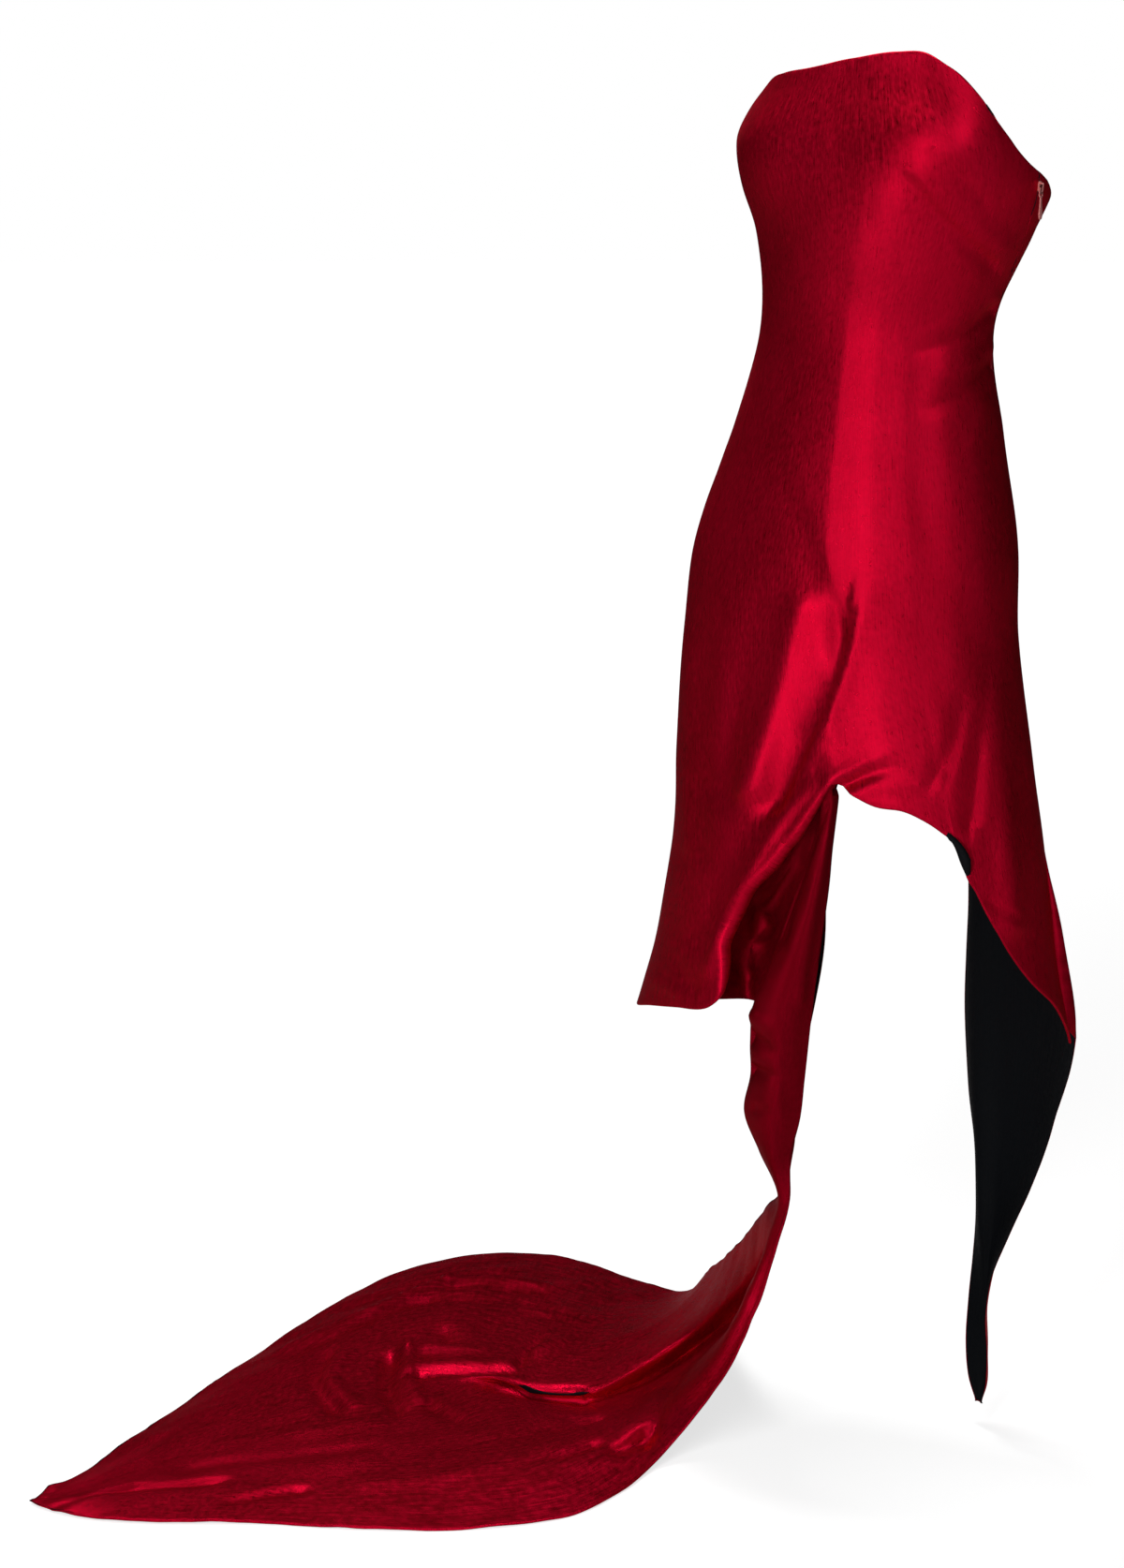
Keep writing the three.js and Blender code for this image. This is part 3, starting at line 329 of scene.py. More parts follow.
# Creases of the sides that the eye doesn't see, by angle round the tube and height.
HIDDEN_CREASES = table(
    "x1 z1 x2 z2 x3 z3 width out lean first last",
    (172, 1120, 178, 1060, 182, 1000, 12, -2.4, 1.3, 0.6, 0.6),
    (200, 1090, 212, 1060, 224, 1040, 9, -2.2, 1.3, 0.6, 1.0),
    (150, 1085, 142, 1050, 134, 1030, 9, -2.0, 1.3, 0.6, 1.0),
    (180, 900, 186, 800, 190, 700, 16, -3.5, 1.2, 0.5, 1.0),
    (206, 880, 214, 760, 222, 620, 18, 4.0, 1.0, 0.4, 1.0),
    (160, 860, 154, 740, 146, 640, 16, 3.5, 1.0, 0.4, 1.0),
    (236, 820, 242, 680, 250, 520, 15, -4.0, 1.3, 0.4, 1.0),
    (262, 780, 266, 640, 270, 480, 16, 3.0, 1.0, 0.4, 1.0),
)


def along(columns, key, at, name):
    """A smooth curve through one column of a table at places on its key column."""
    keys, values = columns[key], columns[name]
    at = np.clip(np.asarray(at, float), keys[0], keys[-1])
    step = np.diff(values) / np.diff(keys)
    slope = np.empty_like(values)
    slope[0], slope[-1] = step[0], step[-1]
    slope[1:-1] = np.where(step[:-1] * step[1:] <= 0, 0, (step[:-1] + step[1:]) / 2)
    i = np.clip(np.searchsorted(keys, at, side="right") - 1, 0, len(keys) - 2)
    span = keys[i + 1] - keys[i]
    t = (at - keys[i]) / span
    return (
        (2 * t**3 - 3 * t**2 + 1) * values[i]
        + (t**3 - 2 * t**2 + t) * span * slope[i]
        + (3 * t**2 - 2 * t**3) * values[i + 1]
        + (t**3 - t**2) * span * slope[i + 1]
    )


def through(points, places):
    """A smooth curve through evenly spaced points (first axis) at places from 0 to 1."""
    points = np.asarray(points, float)
    padded = np.concatenate([[2 * points[0] - points[1]], points, [2 * points[-1] - points[-2]]])
    last = len(points) - 1
    at = np.clip(np.asarray(places, float), 0, 1) * last
    i = np.minimum(at.astype(int), last - 1)
    t = (at - i).reshape((-1,) + (1,) * (points.ndim - 1))
    p0, p1, p2, p3 = (padded[i + k] for k in range(4))
    return 0.5 * (
        2 * p1 + (p2 - p0) * t + (2 * p0 - 5 * p1 + 4 * p2 - p3) * t**2 + (3 * p1 - p0 - 3 * p2 + p3) * t**3
    )


def unit(vectors):
    """Vectors brought to length 1."""
    return vectors / np.maximum(np.linalg.norm(vectors, axis=-1, keepdims=True), 1e-9)


def signed_power(value, power):
    """A power that keeps the value's sign."""
    return np.sign(value) * np.abs(value) ** power


def turned(angle):
    """An angle brought between -180 and 180."""
    return (angle + 180) % 360 - 180


def tube_point(angle, height):
    """The tube's outer face at an angle (0 front, 90 the wearer's left) and a height, in millimetres."""
    angle, height = np.broadcast_arrays(np.asarray(angle, float), np.asarray(height, float))
    half, front, back, x, y, square = (
        along(BODY, "height", height, name) for name in ("half", "front", "back", "x", "y", "square")
    )
    s, c = np.sin(np.radians(angle)), np.cos(np.radians(angle))
    depth = np.where(c > 0, front, back)
    out = sum(
        CUPS["out"]
        * np.exp(-((turned(angle - side * CUPS["angle"]) / CUPS["spread"]) ** 2))
        * np.exp(-(((height - CUPS["height"]) / CUPS["rise"]) ** 2))
        for side in (-1, 1)
    )
    out = out + SPAN["out"] * np.exp(-((turned(angle - SPAN["angle"]) / SPAN["spread"]) ** 2)) * np.exp(
        -(((height - SPAN["height"]) / SPAN["rise"]) ** 2)
    )
    return np.stack(
        [
            x + half * signed_power(s, 2 / square) + out * s,
            y - depth * signed_power(c, 2 / square) - out * c,
            height - HOLD_HEIGHT,
        ],
        -1,
    )


def plan_point(points):
    """Points given across, away and by height above the floor."""
    across, away, height = np.moveaxis(np.asarray(points, float), -1, 0)
    c, s = math.cos(PLAN_TURN), math.sin(PLAN_TURN)
    return np.stack([across * c - away * s, across * s + away * c, height - HOLD_HEIGHT], -1)


def on_plan(points):
    """Across, away and height above the floor of points, in millimetres."""
    x, y, z = np.moveaxis(points, -1, 0)
    c, s = math.cos(PLAN_TURN), math.sin(PLAN_TURN)
    return np.stack([x * c + y * s, -x * s + y * c, z + HOLD_HEIGHT], -1)


def crease_out(columns, x, z):
    """How far all the creases of a table move the cloth at places on their plane, in millimetres."""
    out = np.zeros(len(x))
    pieces = 8
    at = np.stack([x, z], -1)
    for row in zip(*columns.values()):
        x1, z1, x2, z2, x3, z3, width, height, lean, first, last = row
        corners = np.array([(x1, z1), (x2, z2), (x3, z3)])
        path = through(corners, np.linspace(0, 1, pieces + 1))
        best = np.full(len(x), 1e9)
        side = np.zeros(len(x))
        share = np.zeros(len(x))
        for k in range(pieces):
            a, b = path[k], path[k + 1]
            step = b - a
            t = np.clip(((at - a) @ step) / (step @ step), 0, 1)
            offset = at - a - t[:, None] * step
            distance = np.hypot(offset[:, 0], offset[:, 1])
            nearer = distance < best
            best = np.where(nearer, distance, best)
            side = np.where(nearer, step[0] * offset[:, 1] - step[1] * offset[:, 0], side)
            share = np.where(nearer, (k + t) / pieces, share)
        wide = width * np.where(side > 0, 1 / lean, lean)
        strength = first + (last - first) * share
        out += height * strength * np.exp(-((best / wide) ** 2))
    return out


def as_seen(points):
    """Across and height where the eye sees each point, on the plane through the body's axis."""
    across, away, height = np.moveaxis(on_plan(points), -1, 0)
    shrink = -EYE[1] / (away - EYE[1])
    return across * shrink, EYE[2] + (height - EYE[2]) * shrink


def ripple(points, size):
    """A smooth unevenness between about -1 and 1, of this size in millimetres."""
    x, y, z = (points / size).T
    return (
        np.sin(1.3 * x + 0.7 * z + 1.1 * np.sin(0.6 * y + 0.3 * z))
        * np.sin(0.9 * z - 0.8 * y + 0.9 * np.sin(0.7 * x + 0.4))
        + 0.5 * np.sin(2.3 * x - 1.1 * y + 0.5) * np.sin(1.7 * z + 1.9 * x)
    ) / 1.5


def panel(hem, columns, rows, top_from, top_to, seam_from, seam_to):
    """The points of one panel of the tube, in rows from its hem up to the neckline."""
    share, up = np.meshgrid(spaced(columns), np.linspace(0, 1, rows + 1))
    hem_angle = along(hem, "along", share * hem["along"][-1], "angle")
    hem_height = along(hem, "along", share * hem["along"][-1], "height")
    top_angle = top_from + (top_to - top_from) * share
    height = hem_height + (along(NECK, "angle", top_angle, "height") - hem_height) * up
    angle = hem_angle + (top_angle - hem_angle) * (1 - (1 - up) ** 2.2)
    at_from = seam_from(height[:, :1]) - angle[:, :1]
    at_to = seam_to(height[:, -1:]) - angle[:, -1:]
    return tube_point(angle + at_from * (1 - share) ** 3 + at_to * share**3, height)


def spaced(columns):
    """Even places from 0 to 1, with two more close to each end for a seam's turned edge."""
    even = np.linspace(0, 1, columns + 1)
    close = np.array([0.25, 0.55]) / columns
    return np.sort(np.concatenate([even, close, 1 - close]))


def seam_shift(height):
    """Half the seam gap, in degrees round the tube."""
    return np.degrees(SEAM_GAP / 2 / along(BODY, "height", height, "half"))


def left_seam(height, side):
    """The left seam's angle at the edge of the back (side 1) or of the front (side -1)."""
    return along(LEFT_SEAM, "height", height, "angle") + side * seam_shift(height)


def tube_normal(angle, height, turn):
    """The tube's direction outwards, from points this many degrees to each side."""
    side = tube_point(angle + turn, height) - tube_point(angle - turn, height)
    rise = tube_point(angle, height + 2) - tube_point(angle, height - 2)
    return unit(np.cross(side, rise))


def in_from_tube(angle, height, inward):
    """A point inside the tube, this far in from its outer face."""
    return tube_point(angle, height) - inward * tube_normal(angle, height, 0.5)


def facing_eye(points, normal):
    """How much the cloth faces the eye, from 0 to 1."""
    to_eye = unit(plan_point(np.array(EYE)) - points)
    return np.clip((normal * to_eye).sum(1) * 4, 0, 1)


def guided(stations, rows, columns):
    """A grid through stations of guide points: rows run over the stations and columns over the guides."""
    level = np.moveaxis(through(np.moveaxis(stations, 1, 0), columns), 1, 0)
    return plan_point(through(level, rows))


def add_object(name, data):
    """A new object in the scene."""
    made = bpy.data.objects.new(name, data)
    bpy.context.scene.collection.objects.link(made)
    return made


class Cloth:
    """The grids of one piece, which share the points where they meet."""

    def __init__(self):
        self.points = np.zeros((0, 3))
        self.uv = np.zeros((0, 2))
        self.faces = np.zeros((0, 4), int)

    def add(self, grid, uv, shared=None):
        """Adds a grid of points and its quads. Where shared has an id, the grid uses that point again."""
        ids = np.full(grid.shape[:2], -1) if shared is None else shared.copy()
        new = ids < 0
        ids[new] = len(self.points) + np.arange(new.sum())
        self.points = np.concatenate([self.points, grid[new]])
        self.uv = np.concatenate([self.uv, uv[new]])
        quads = np.stack([ids[:-1, :-1], ids[:-1, 1:], ids[1:, 1:], ids[1:, :-1]], -1)
        self.faces = np.concatenate([self.faces, quads.reshape(-1, 4)])
        return ids

    def normals(self):
        """The direction that each point faces."""
        corner = self.points[self.faces]
        face = np.cross(corner[:, 2] - corner[:, 0], corner[:, 3] - corner[:, 1])
        total = np.zeros_like(self.points)
        for k in range(4):
            np.add.at(total, self.faces[:, k], face)
        return unit(total)

    def turn_edge(self, chain, radius, angle=180.0, back=1.0, flat=3.0, steps=6, inward=1.0):
        """Rolls an edge inwards, or outwards where inward is -1. The piece lies to the left of the chain."""
        normal = self.normals()[chain]
        at = self.points[chain]
        out = unit(np.cross(np.gradient(at, axis=0), normal))
        radius, flat, inward = (
            np.broadcast_to(np.asarray(value, float), (len(chain),))[:, None]
            for value in (radius, flat, inward))
        rings = []
        for turn in np.radians(np.linspace(0, angle, steps + 1)):
            ahead = (math.sin(turn) - back) * out
            rings.append(at + radius * (ahead + (math.cos(turn) - 1) * inward * normal))
        last = math.radians(angle)
        rings.append(rings[-1] + flat * (math.cos(last) * out - math.sin(last) * inward * normal))
        self.points[chain] = rings[0]
        grid = np.stack(rings[::-1])
        shared = np.full(grid.shape[:2], -1)
        shared[-1] = chain
        ring_width_m = 0.0015
        step = np.arange(len(rings))[::-1, None] * ring_width_m
        uv = self.uv[chain][None] + np.stack([np.zeros_like(step), -step], -1)
        self.add(grid, uv, shared)

    def turn_seam(self, chain, radius=SEAM_RADIUS, flat=SEAM_FLAT):
        """Turns a seam's edge in by a quarter turn."""
        self.turn_edge(chain, radius, angle=90, back=0.7, flat=flat)

    def mesh_object(self, name, materials, painted_shade=None):
        """The finished mesh. Its Dull attribute says where the satin gets painted shade and a little more
        roughness.
        """
        mesh = bpy.data.meshes.new(name)
        mesh.from_pydata((self.points / 1000).tolist(), [], self.faces.tolist())
        if painted_shade is not None:
            mesh.attributes.new("Painted shade", "FLOAT", "POINT").data.foreach_set("value", painted_shade)
        layer = mesh.uv_layers.new(name="Cloth")
        layer.data.foreach_set("uv", self.uv[self.faces.ravel()].ravel())
        mesh.polygons.foreach_set("use_smooth", [True] * len(mesh.polygons))
        for material in materials:
            mesh.materials.append(material)
        made = bmesh.new()
        made.from_mesh(mesh)
        bmesh.ops.dissolve_degenerate(made, dist=1e-6, edges=made.edges)
        made.to_mesh(mesh)
        made.free()
        mesh.update()
        return add_object(name, mesh)


def crease_tube(cloth, strength, beside_seam=None):
    """Moves the cloth of the tube by its creases, its hidden sides' creases and a soft unevenness.

    beside_seam says how much each point follows the tube's own directions, to stay at a seam.
    """
    normal = cloth.normals()
    angle = np.degrees(np.arctan2(cloth.points[:, 0], -cloth.points[:, 1])) % 360
    height = cloth.points[:, 2] + HOLD_HEIGHT
    if beside_seam is not None:
        own = tube_normal(angle, height, 1)
        own *= np.sign((own * normal).sum(1))[:, None]
        normal = unit(normal + beside_seam[:, None] * (own - normal))
    facing = facing_eye(cloth.points, normal)
    out = crease_out(CREASES, *as_seen(cloth.points)) * facing
    hidden = dict(HIDDEN_CREASES)
    for name in ("x1", "x2", "x3"):
        hidden[name] = HIDDEN_CREASES[name] * MM_PER_DEGREE
    out += crease_out(hidden, angle * MM_PER_DEGREE, height) * (1 - facing)
    out += 0.55 * ripple(cloth.points, 46) + 0.3 * ripple(cloth.points + 300, 21)
    cloth.points += strength * out[:, None] * normal


def finish_cloth(piece, settings):
    """Gives a cloth piece its thickness inwards, with the lining inside and along its rim."""
    wall = piece.modifiers.new("Cloth thickness", "SOLIDIFY")
    wall.thickness = settings.cloth_thickness
    wall.offset = -1
    wall.material_offset = 1
    wall.material_offset_rim = 1
    wall.use_even_offset = False
    wall.use_rim = True
    return piece


def grid_uv(grid, v_from=0.0):
    """A UV in metres for a grid: across its middle row and up its middle column."""
    middle = grid[grid.shape[0] // 2]
    u = np.concatenate([[0], np.cumsum(np.linalg.norm(np.diff(middle, axis=0), axis=1))]) / 1000
    column = grid[:, grid.shape[1] // 2]
    v = np.concatenate([[0], np.cumsum(np.linalg.norm(np.diff(column, axis=0), axis=1))]) / 1000
    return np.stack(np.meshgrid(u, v + v_from), -1)


def declare(piece):
    """Tells the frame what a cloth piece rides on."""
    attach(piece, GOWN_BODY)


def fill(tree, node, entries):
    """Sets a node's sockets by name or number: to a value, or by a link from another node's output."""
    for name, value in entries.items():
        if isinstance(value, bpy.types.NodeSocket):
            tree.links.new(value, node.inputs[name])
        else:
            node.inputs[name].default_value = value


def add_node(tree, kind, entries, **settings):
    """A new node with its settings and its sockets."""
    node = tree.nodes.new(kind)
    for name, value in settings.items():
        setattr(node, name, value)
    fill(tree, node, entries)
    return node


def add_sockets(tree, in_out, kinds):
    """Gives a node group its inputs or outputs: names by the kind of their sockets."""
    for name, kind in kinds:
        tree.interface.new_socket(name=name, in_out=in_out, socket_type="NodeSocket" + kind)


def new_material(name):
    """A new material, its node tree and its shader."""
    material = bpy.data.materials.new(name)
    material.use_nodes = True
    return material, material.node_tree, material.node_tree.nodes["Principled BSDF"]


def satin_group():
    """Fine warp and weft threads with slubs, and slow changes of colour, as colour, roughness and height."""
    if "Satin threads" in bpy.data.node_groups:
        return bpy.data.node_groups["Satin threads"]
    tree = bpy.data.node_groups.new("Satin threads", "ShaderNodeTree")
    add_sockets(tree, "INPUT", (
        ("Vector", "Vector"), ("Light colour", "Color"), ("Deep colour", "Color"), ("Threads", "Float"),
        ("Roughness", "Float"), ("Painted shade", "Float")))
    add_sockets(tree, "OUTPUT", (("Colour", "Color"), ("Roughness", "Float"), ("Height", "Float")))
    given = tree.nodes.new("NodeGroupInput").outputs

    def noise(scale, detail, stretch=(1, 1, 1)):
        mapping = add_node(tree, "ShaderNodeMapping", {"Scale": stretch, "Vector": given["Vector"]})
        entries = {"Scale": scale, "Detail": detail, "Vector": mapping.outputs["Vector"]}
        return add_node(tree, "ShaderNodeTexNoise", entries).outputs["Fac"]

    def calculated(operation, first, second):
        return add_node(tree, "ShaderNodeMath", {0: first, 1: second}, operation=operation).outputs["Value"]

    def total(*parts):
        """The sum of outputs, each with its share."""
        scaled = [output if share == 1 else calculated("MULTIPLY", output, share) for output, share in parts]
        whole = scaled[0]
        for part in scaled[1:]:
            whole = calculated("ADD", whole, part)
        return whole

    slow = noise(9.0, 3.0)
    grain = noise(340.0, 4.0, (1, 0.5, 1))
    slub = noise(1100.0, 2.0, (1, 0.03, 1))
    wave = add_node(
        tree, "ShaderNodeTexWave",
        {"Distortion": 1.5, "Detail": 1.0, "Scale": given["Threads"], "Vector": given["Vector"]},
        bands_direction="DIAGONAL").outputs["Fac"]
    ramp = add_node(tree, "ShaderNodeMapRange", {
        "Value": total((slow, 0.3), (grain, 0.35), (slub, 0.35)), "From Min": 0.34, "From Max": 0.66})
    threads = add_node(
        tree, "ShaderNodeMix",
        {"Factor": ramp.outputs["Result"], 6: given["Deep colour"], 7: given["Light colour"]},
        data_type="RGBA").outputs[2]
    # Painted shade: the Dull share darkens the thread colour, multiplied towards a dark grey red.
    painted_shade_colour = add_node(
        tree, "ShaderNodeMix", {"Factor": given["Painted shade"], 6: threads, 7: (0.3, 0.25, 0.25, 1)},
        data_type="RGBA", blend_type="MULTIPLY").outputs[2]
    uneven = calculated("SUBTRACT", total((grain, 1), (slub, 1)), 1.0)
    add_node(tree, "NodeGroupOutput", {
        "Colour": painted_shade_colour,
        "Roughness": total((given["Roughness"], 1), (given["Painted shade"], 0.12), (uneven, 0.45)),
        "Height": total((wave, 0.3), (grain, 0.5), (slub, 0.5))})
    return tree


def cloth_material(name, light, deep, roughness, metallic, sheen, threads, bump, shine=0.2, tint=(1, 1, 1)):
    """A woven cloth with its threads in the roughness and the bump, laid along the piece's own UV."""
    if name in bpy.data.materials:
        return bpy.data.materials[name]
    material, tree, shader = new_material(name)
    woven = add_node(tree, "ShaderNodeGroup", {
        "Light colour": (*light, 1), "Deep colour": (*deep, 1), "Threads": threads, "Roughness": roughness,
        # The Dull attribute brings painted shade into the cloth's colour.
        "Painted shade": add_node(tree, "ShaderNodeAttribute", {}, attribute_name="Painted shade").outputs["Fac"],
        "Vector": add_node(tree, "ShaderNodeUVMap", {}, uv_map="Cloth").outputs["UV"],
    }, node_tree=satin_group()).outputs
    relief = add_node(
        tree, "ShaderNodeBump", {"Strength": bump, "Distance": 0.0004, "Height": woven["Height"]})
    fill(tree, shader, {
        "Base Color": woven["Colour"], "Roughness": woven["Roughness"], "Normal": relief.outputs["Normal"],
        "Metallic": metallic, "Sheen Weight": sheen, "Sheen Roughness": 0.5, "Specular IOR Level": shine,
        "Specular Tint": (*tint, 1)})
    return material


def satin(settings):
    """The gown's red satin."""
    return cloth_material(
        "Red satin", settings.satin_light, settings.satin_deep, roughness=settings.satin_roughness,
        metallic=settings.satin_metal, sheen=0.0, threads=900.0, bump=0.5, shine=0.16, tint=(0.7, 0.06, 0.12))


def lining(settings):
    """The near-black side of the cloth."""
    deep = [0.6 * value for value in settings.lining_colour]
    return cloth_material(
        "Black lining", settings.lining_colour, deep, roughness=0.7, metallic=0.0, sheen=0.0, threads=1100.0,
        bump=0.3, shine=0.12)


def zip_cloth(settings):
    """The zip's woven tape, in the satin's deeper colour."""
    deep = [0.6 * value for value in settings.satin_deep]
    return cloth_material(
        "Zip tape", settings.satin_deep, deep, roughness=0.8, metallic=0.0, sheen=0.1, threads=1300.0,
        bump=0.6)


def hard_material(name, base, metallic, roughness, coat, scale):
    """Lacquered metal or nylon with a faint orange peel and slightly worn, brighter spots."""
    if name in bpy.data.materials:
        return bpy.data.materials[name]
    material, tree, shader = new_material(name)
    place = tree.nodes.new("ShaderNodeTexCoord").outputs["Object"]
    peel = add_node(tree, "ShaderNodeTexNoise", {"Scale": scale, "Vector": place}).outputs["Fac"]
    ramp = add_node(tree, "ShaderNodeValToRGB", {"Fac": peel})
    worn = [0.75 * value for value in base]
    for stop, colour, position in zip(ramp.color_ramp.elements, (worn, base), (0.35, 0.65)):
        stop.color = (*colour, 1)
        stop.position = position
    spread = add_node(tree, "ShaderNodeMapRange", {
        "Value": peel, "To Min": roughness - 0.08, "To Max": roughness + 0.12})
    relief = add_node(tree, "ShaderNodeBump", {"Strength": 0.12, "Distance": 0.0002, "Height": peel})
    fill(tree, shader, {
        "Base Color": ramp.outputs["Color"], "Roughness": spread.outputs["Result"],
        "Normal": relief.outputs["Normal"], "Metallic": metallic, "Coat Weight": coat})
    return material


def zip_metal(settings):
    """The coral slider and its pull."""
    return hard_material(
        "Coral zip metal", settings.metal_colour, metallic=0.3, roughness=0.3, coat=0.5, scale=900.0)


def zip_nylon():
    """The zip's coil."""
    return hard_material(
        "Zip nylon", (0.6, 0.03, 0.07), metallic=0.0, roughness=0.4, coat=0.0, scale=2200.0)


class GownSettings(bpy.types.PropertyGroup):
    """Sizes and colours of the gown's pieces."""

    crease_strength: FloatProperty(
        name="Crease strength", description="How deep the hand placed creases are", default=1.0, min=0, max=2)
    cloth_thickness: FloatProperty(
        name="Cloth thickness", description="Satin and its lining together", default=0.001,
        min=0.0005, max=0.003, subtype="DISTANCE", unit="LENGTH")
    hem_radius: FloatProperty(
        name="Hem radius", description="How round the turned edges are, in millimetres", default=1.3,
        min=0.6, max=3)
    satin_light: FloatVectorProperty(
        name="Satin, light", description="The satin's lighter thread colour", subtype="COLOR",
        default=(0.78, 0.003, 0.036), min=0, max=1)
    satin_deep: FloatVectorProperty(
        name="Satin, deep", description="The satin's deeper thread colour", subtype="COLOR",
        default=(0.42, 0.0005, 0.014), min=0, max=1)
    satin_roughness: FloatProperty(
        name="Satin roughness", description="How wide the satin's shine spreads", default=0.38,
        min=0.1, max=0.9)
    satin_metal: FloatProperty(
        name="Satin tint of shine", description="How much the shine takes the cloth's own colour",
        default=0.78, min=0, max=1)
    lining_colour: FloatVectorProperty(
        name="Lining", description="Colour of the lining", subtype="COLOR", default=(0.0035, 0.0045, 0.0065),
        min=0, max=1)
    metal_colour: FloatVectorProperty(
        name="Zip metal", description="Colour of the slider and its pull", subtype="COLOR",
        default=(0.95, 0.33, 0.31), min=0, max=1)
    key_power: FloatProperty(
        name="Key light", description="Power that each studio light takes its share of", default=34.0,
        min=0, max=1000, unit="POWER")
    room_light: FloatProperty(
        name="Room light", description="Strength of the soft light from all round", default=0.035,
        min=0, max=2)
    coil_turns: IntProperty(
        name="Zip coil turns", description="Turns of the zip's coil in a centimetre", default=10,
        min=4, max=20)


class GOWN_OT_front(bpy.types.Operator):
    """The front from seam to seam, with the hem raised to a pinch and its lip rolled inwards"""

    bl_idname = "gown.front"
    bl_label = "Front"

    def execute(self, context):
        settings = context.scene.gown
        columns, rows = 190, 170
        grid = panel(
            FRONT_HEM, columns, rows, -90, SEAM_TOP,
            lambda height: -90 + seam_shift(height), lambda height: left_seam(height, -1))
        share = spaced(columns)
        curl = along(FRONT_HEM, "along", share * FRONT_HEM["along"][-1], "roll")
        roll = np.maximum(np.abs(curl), settings.hem_radius)
        cloth = Cloth()
        ids = cloth.add(grid, grid_uv(grid))
        crease_tube(cloth, settings.crease_strength)
        settle_hem(cloth, ids[0], roll)
        cloth.turn_edge(ids[0], roll, back=0, steps=10, inward=np.clip(curl, -1, 1))
        cloth.turn_edge(ids[-1][::-1], settings.hem_radius)
        cloth.turn_seam(ids[:, -1])
        cloth.turn_seam(ids[::-1, 0])
        piece = finish_cloth(cloth.mesh_object("front", [satin(settings), lining(settings)]), settings)
        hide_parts("front_panel", "front_facing")
        declare(piece)
        return {"FINISHED"}


def settle_hem(cloth, chain, radius):
    """Draws the cloth near a hem back from it by the hem's roll, so that the rolled edge ends on its line."""
    at = cloth.points[chain].copy()
    out = unit(np.cross(np.gradient(at, axis=0), cloth.normals()[chain]))
    reach = 4 * radius
    at_once = 4000
    for start in range(0, len(cloth.points), at_once):
        block = slice(start, start + at_once)
        gap = np.linalg.norm(cloth.points[block][:, None] - at[None], axis=2)
        nearest = gap.min(axis=1, keepdims=True)
        weight = np.exp(-((gap**2 - nearest**2) / 40))
        weight /= weight.sum(axis=1, keepdims=True)
        fade = np.clip(1 - nearest[:, 0] / (weight @ reach), 0, 1) ** 2
        cloth.points[block] -= (fade * (weight @ radius))[:, None] * (weight @ out)


class GOWN_OT_back(bpy.types.Operator):
    """The back with the tail cut on below its left part"""

    bl_idname = "gown.back"
    bl_label = "Back and tail"

    def execute(self, context):
        settings = context.scene.gown
        columns, rows, tail_rows = 120, 150, 110
        grid = panel(
            BACK_HEM, columns, rows, SEAM_TOP, 270,
            lambda height: left_seam(height, 1), lambda height: 270 - seam_shift(height))
        cloth = Cloth()
        uv = grid_uv(grid)
        ids = cloth.add(grid, uv)
        share = spaced(columns)
        last = int(np.argmin(np.abs(share - BACK_HEM["along"][1] / BACK_HEM["along"][-1])))
        place = share[: last + 1] / share[last]
        top = on_plan(grid[0, : last + 1])
        levels = []
        for k in range(len(TAIL["height"])):
            guides = [(TAIL[name + "_x"][k], TAIL[name + "_y"][k], TAIL["height"][k]) for name in TAIL_PLACES]
            levels.append(through(guides, place))
        down = np.linspace(0, 1, tail_rows + 1)
        tail = plan_point(through(np.stack([top, *levels]), down))
        height = tail[:, 0, 2] + HOLD_HEIGHT
        seam = tube_point(left_seam(height, 1), height)
        tail[:, 0] = np.where((height > SEAM_END)[:, None], seam, tail[:, 0])
        tail[0] = grid[0, : last + 1]
        shared = np.full(tail.shape[:2], -1)
        shared[0] = ids[0, : last + 1]
        tail_uv = np.stack(np.broadcast_arrays(uv[0, : last + 1, 0][None], -0.6 * down[:, None]), -1)
        tail_ids = cloth.add(tail[::-1], tail_uv[::-1], shared[::-1])
        beside_seam = np.zeros(len(cloth.points))
        near_columns = 14
        near = np.clip(1 - np.arange(tail_ids.shape[1]) / near_columns, 0, 1)
        beside_seam[tail_ids] = near * near * (3 - 2 * near)
        crease_tube(cloth, settings.crease_strength, beside_seam=beside_seam)
        radius = settings.hem_radius
        cloth.turn_edge(ids[0, last:], radius)
        cloth.turn_edge(ids[-1][::-1], radius)
        cloth.turn_seam(ids[:, -1])
        seam_edge = np.concatenate([ids[::-1, 0], tail_ids[::-1, 0][1:]])
        hangs = np.clip((SEAM_END - cloth.points[seam_edge, 2] - HOLD_HEIGHT) / 30, 0, 1)
        cloth.turn_seam(seam_edge, SEAM_RADIUS - 0.35 * hangs, SEAM_FLAT - 0.2 * hangs)
        cloth.turn_edge(tail_ids[:, -1], 0.6, flat=0.5)
        cloth.turn_edge(tail_ids[0], 0.6, flat=0.5)
        piece = finish_cloth(cloth.mesh_object("back", [satin(settings), lining(settings)]), settings)
        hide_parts("back_panel", "tail_lining")
        declare(piece)
        return {"FINISHED"}


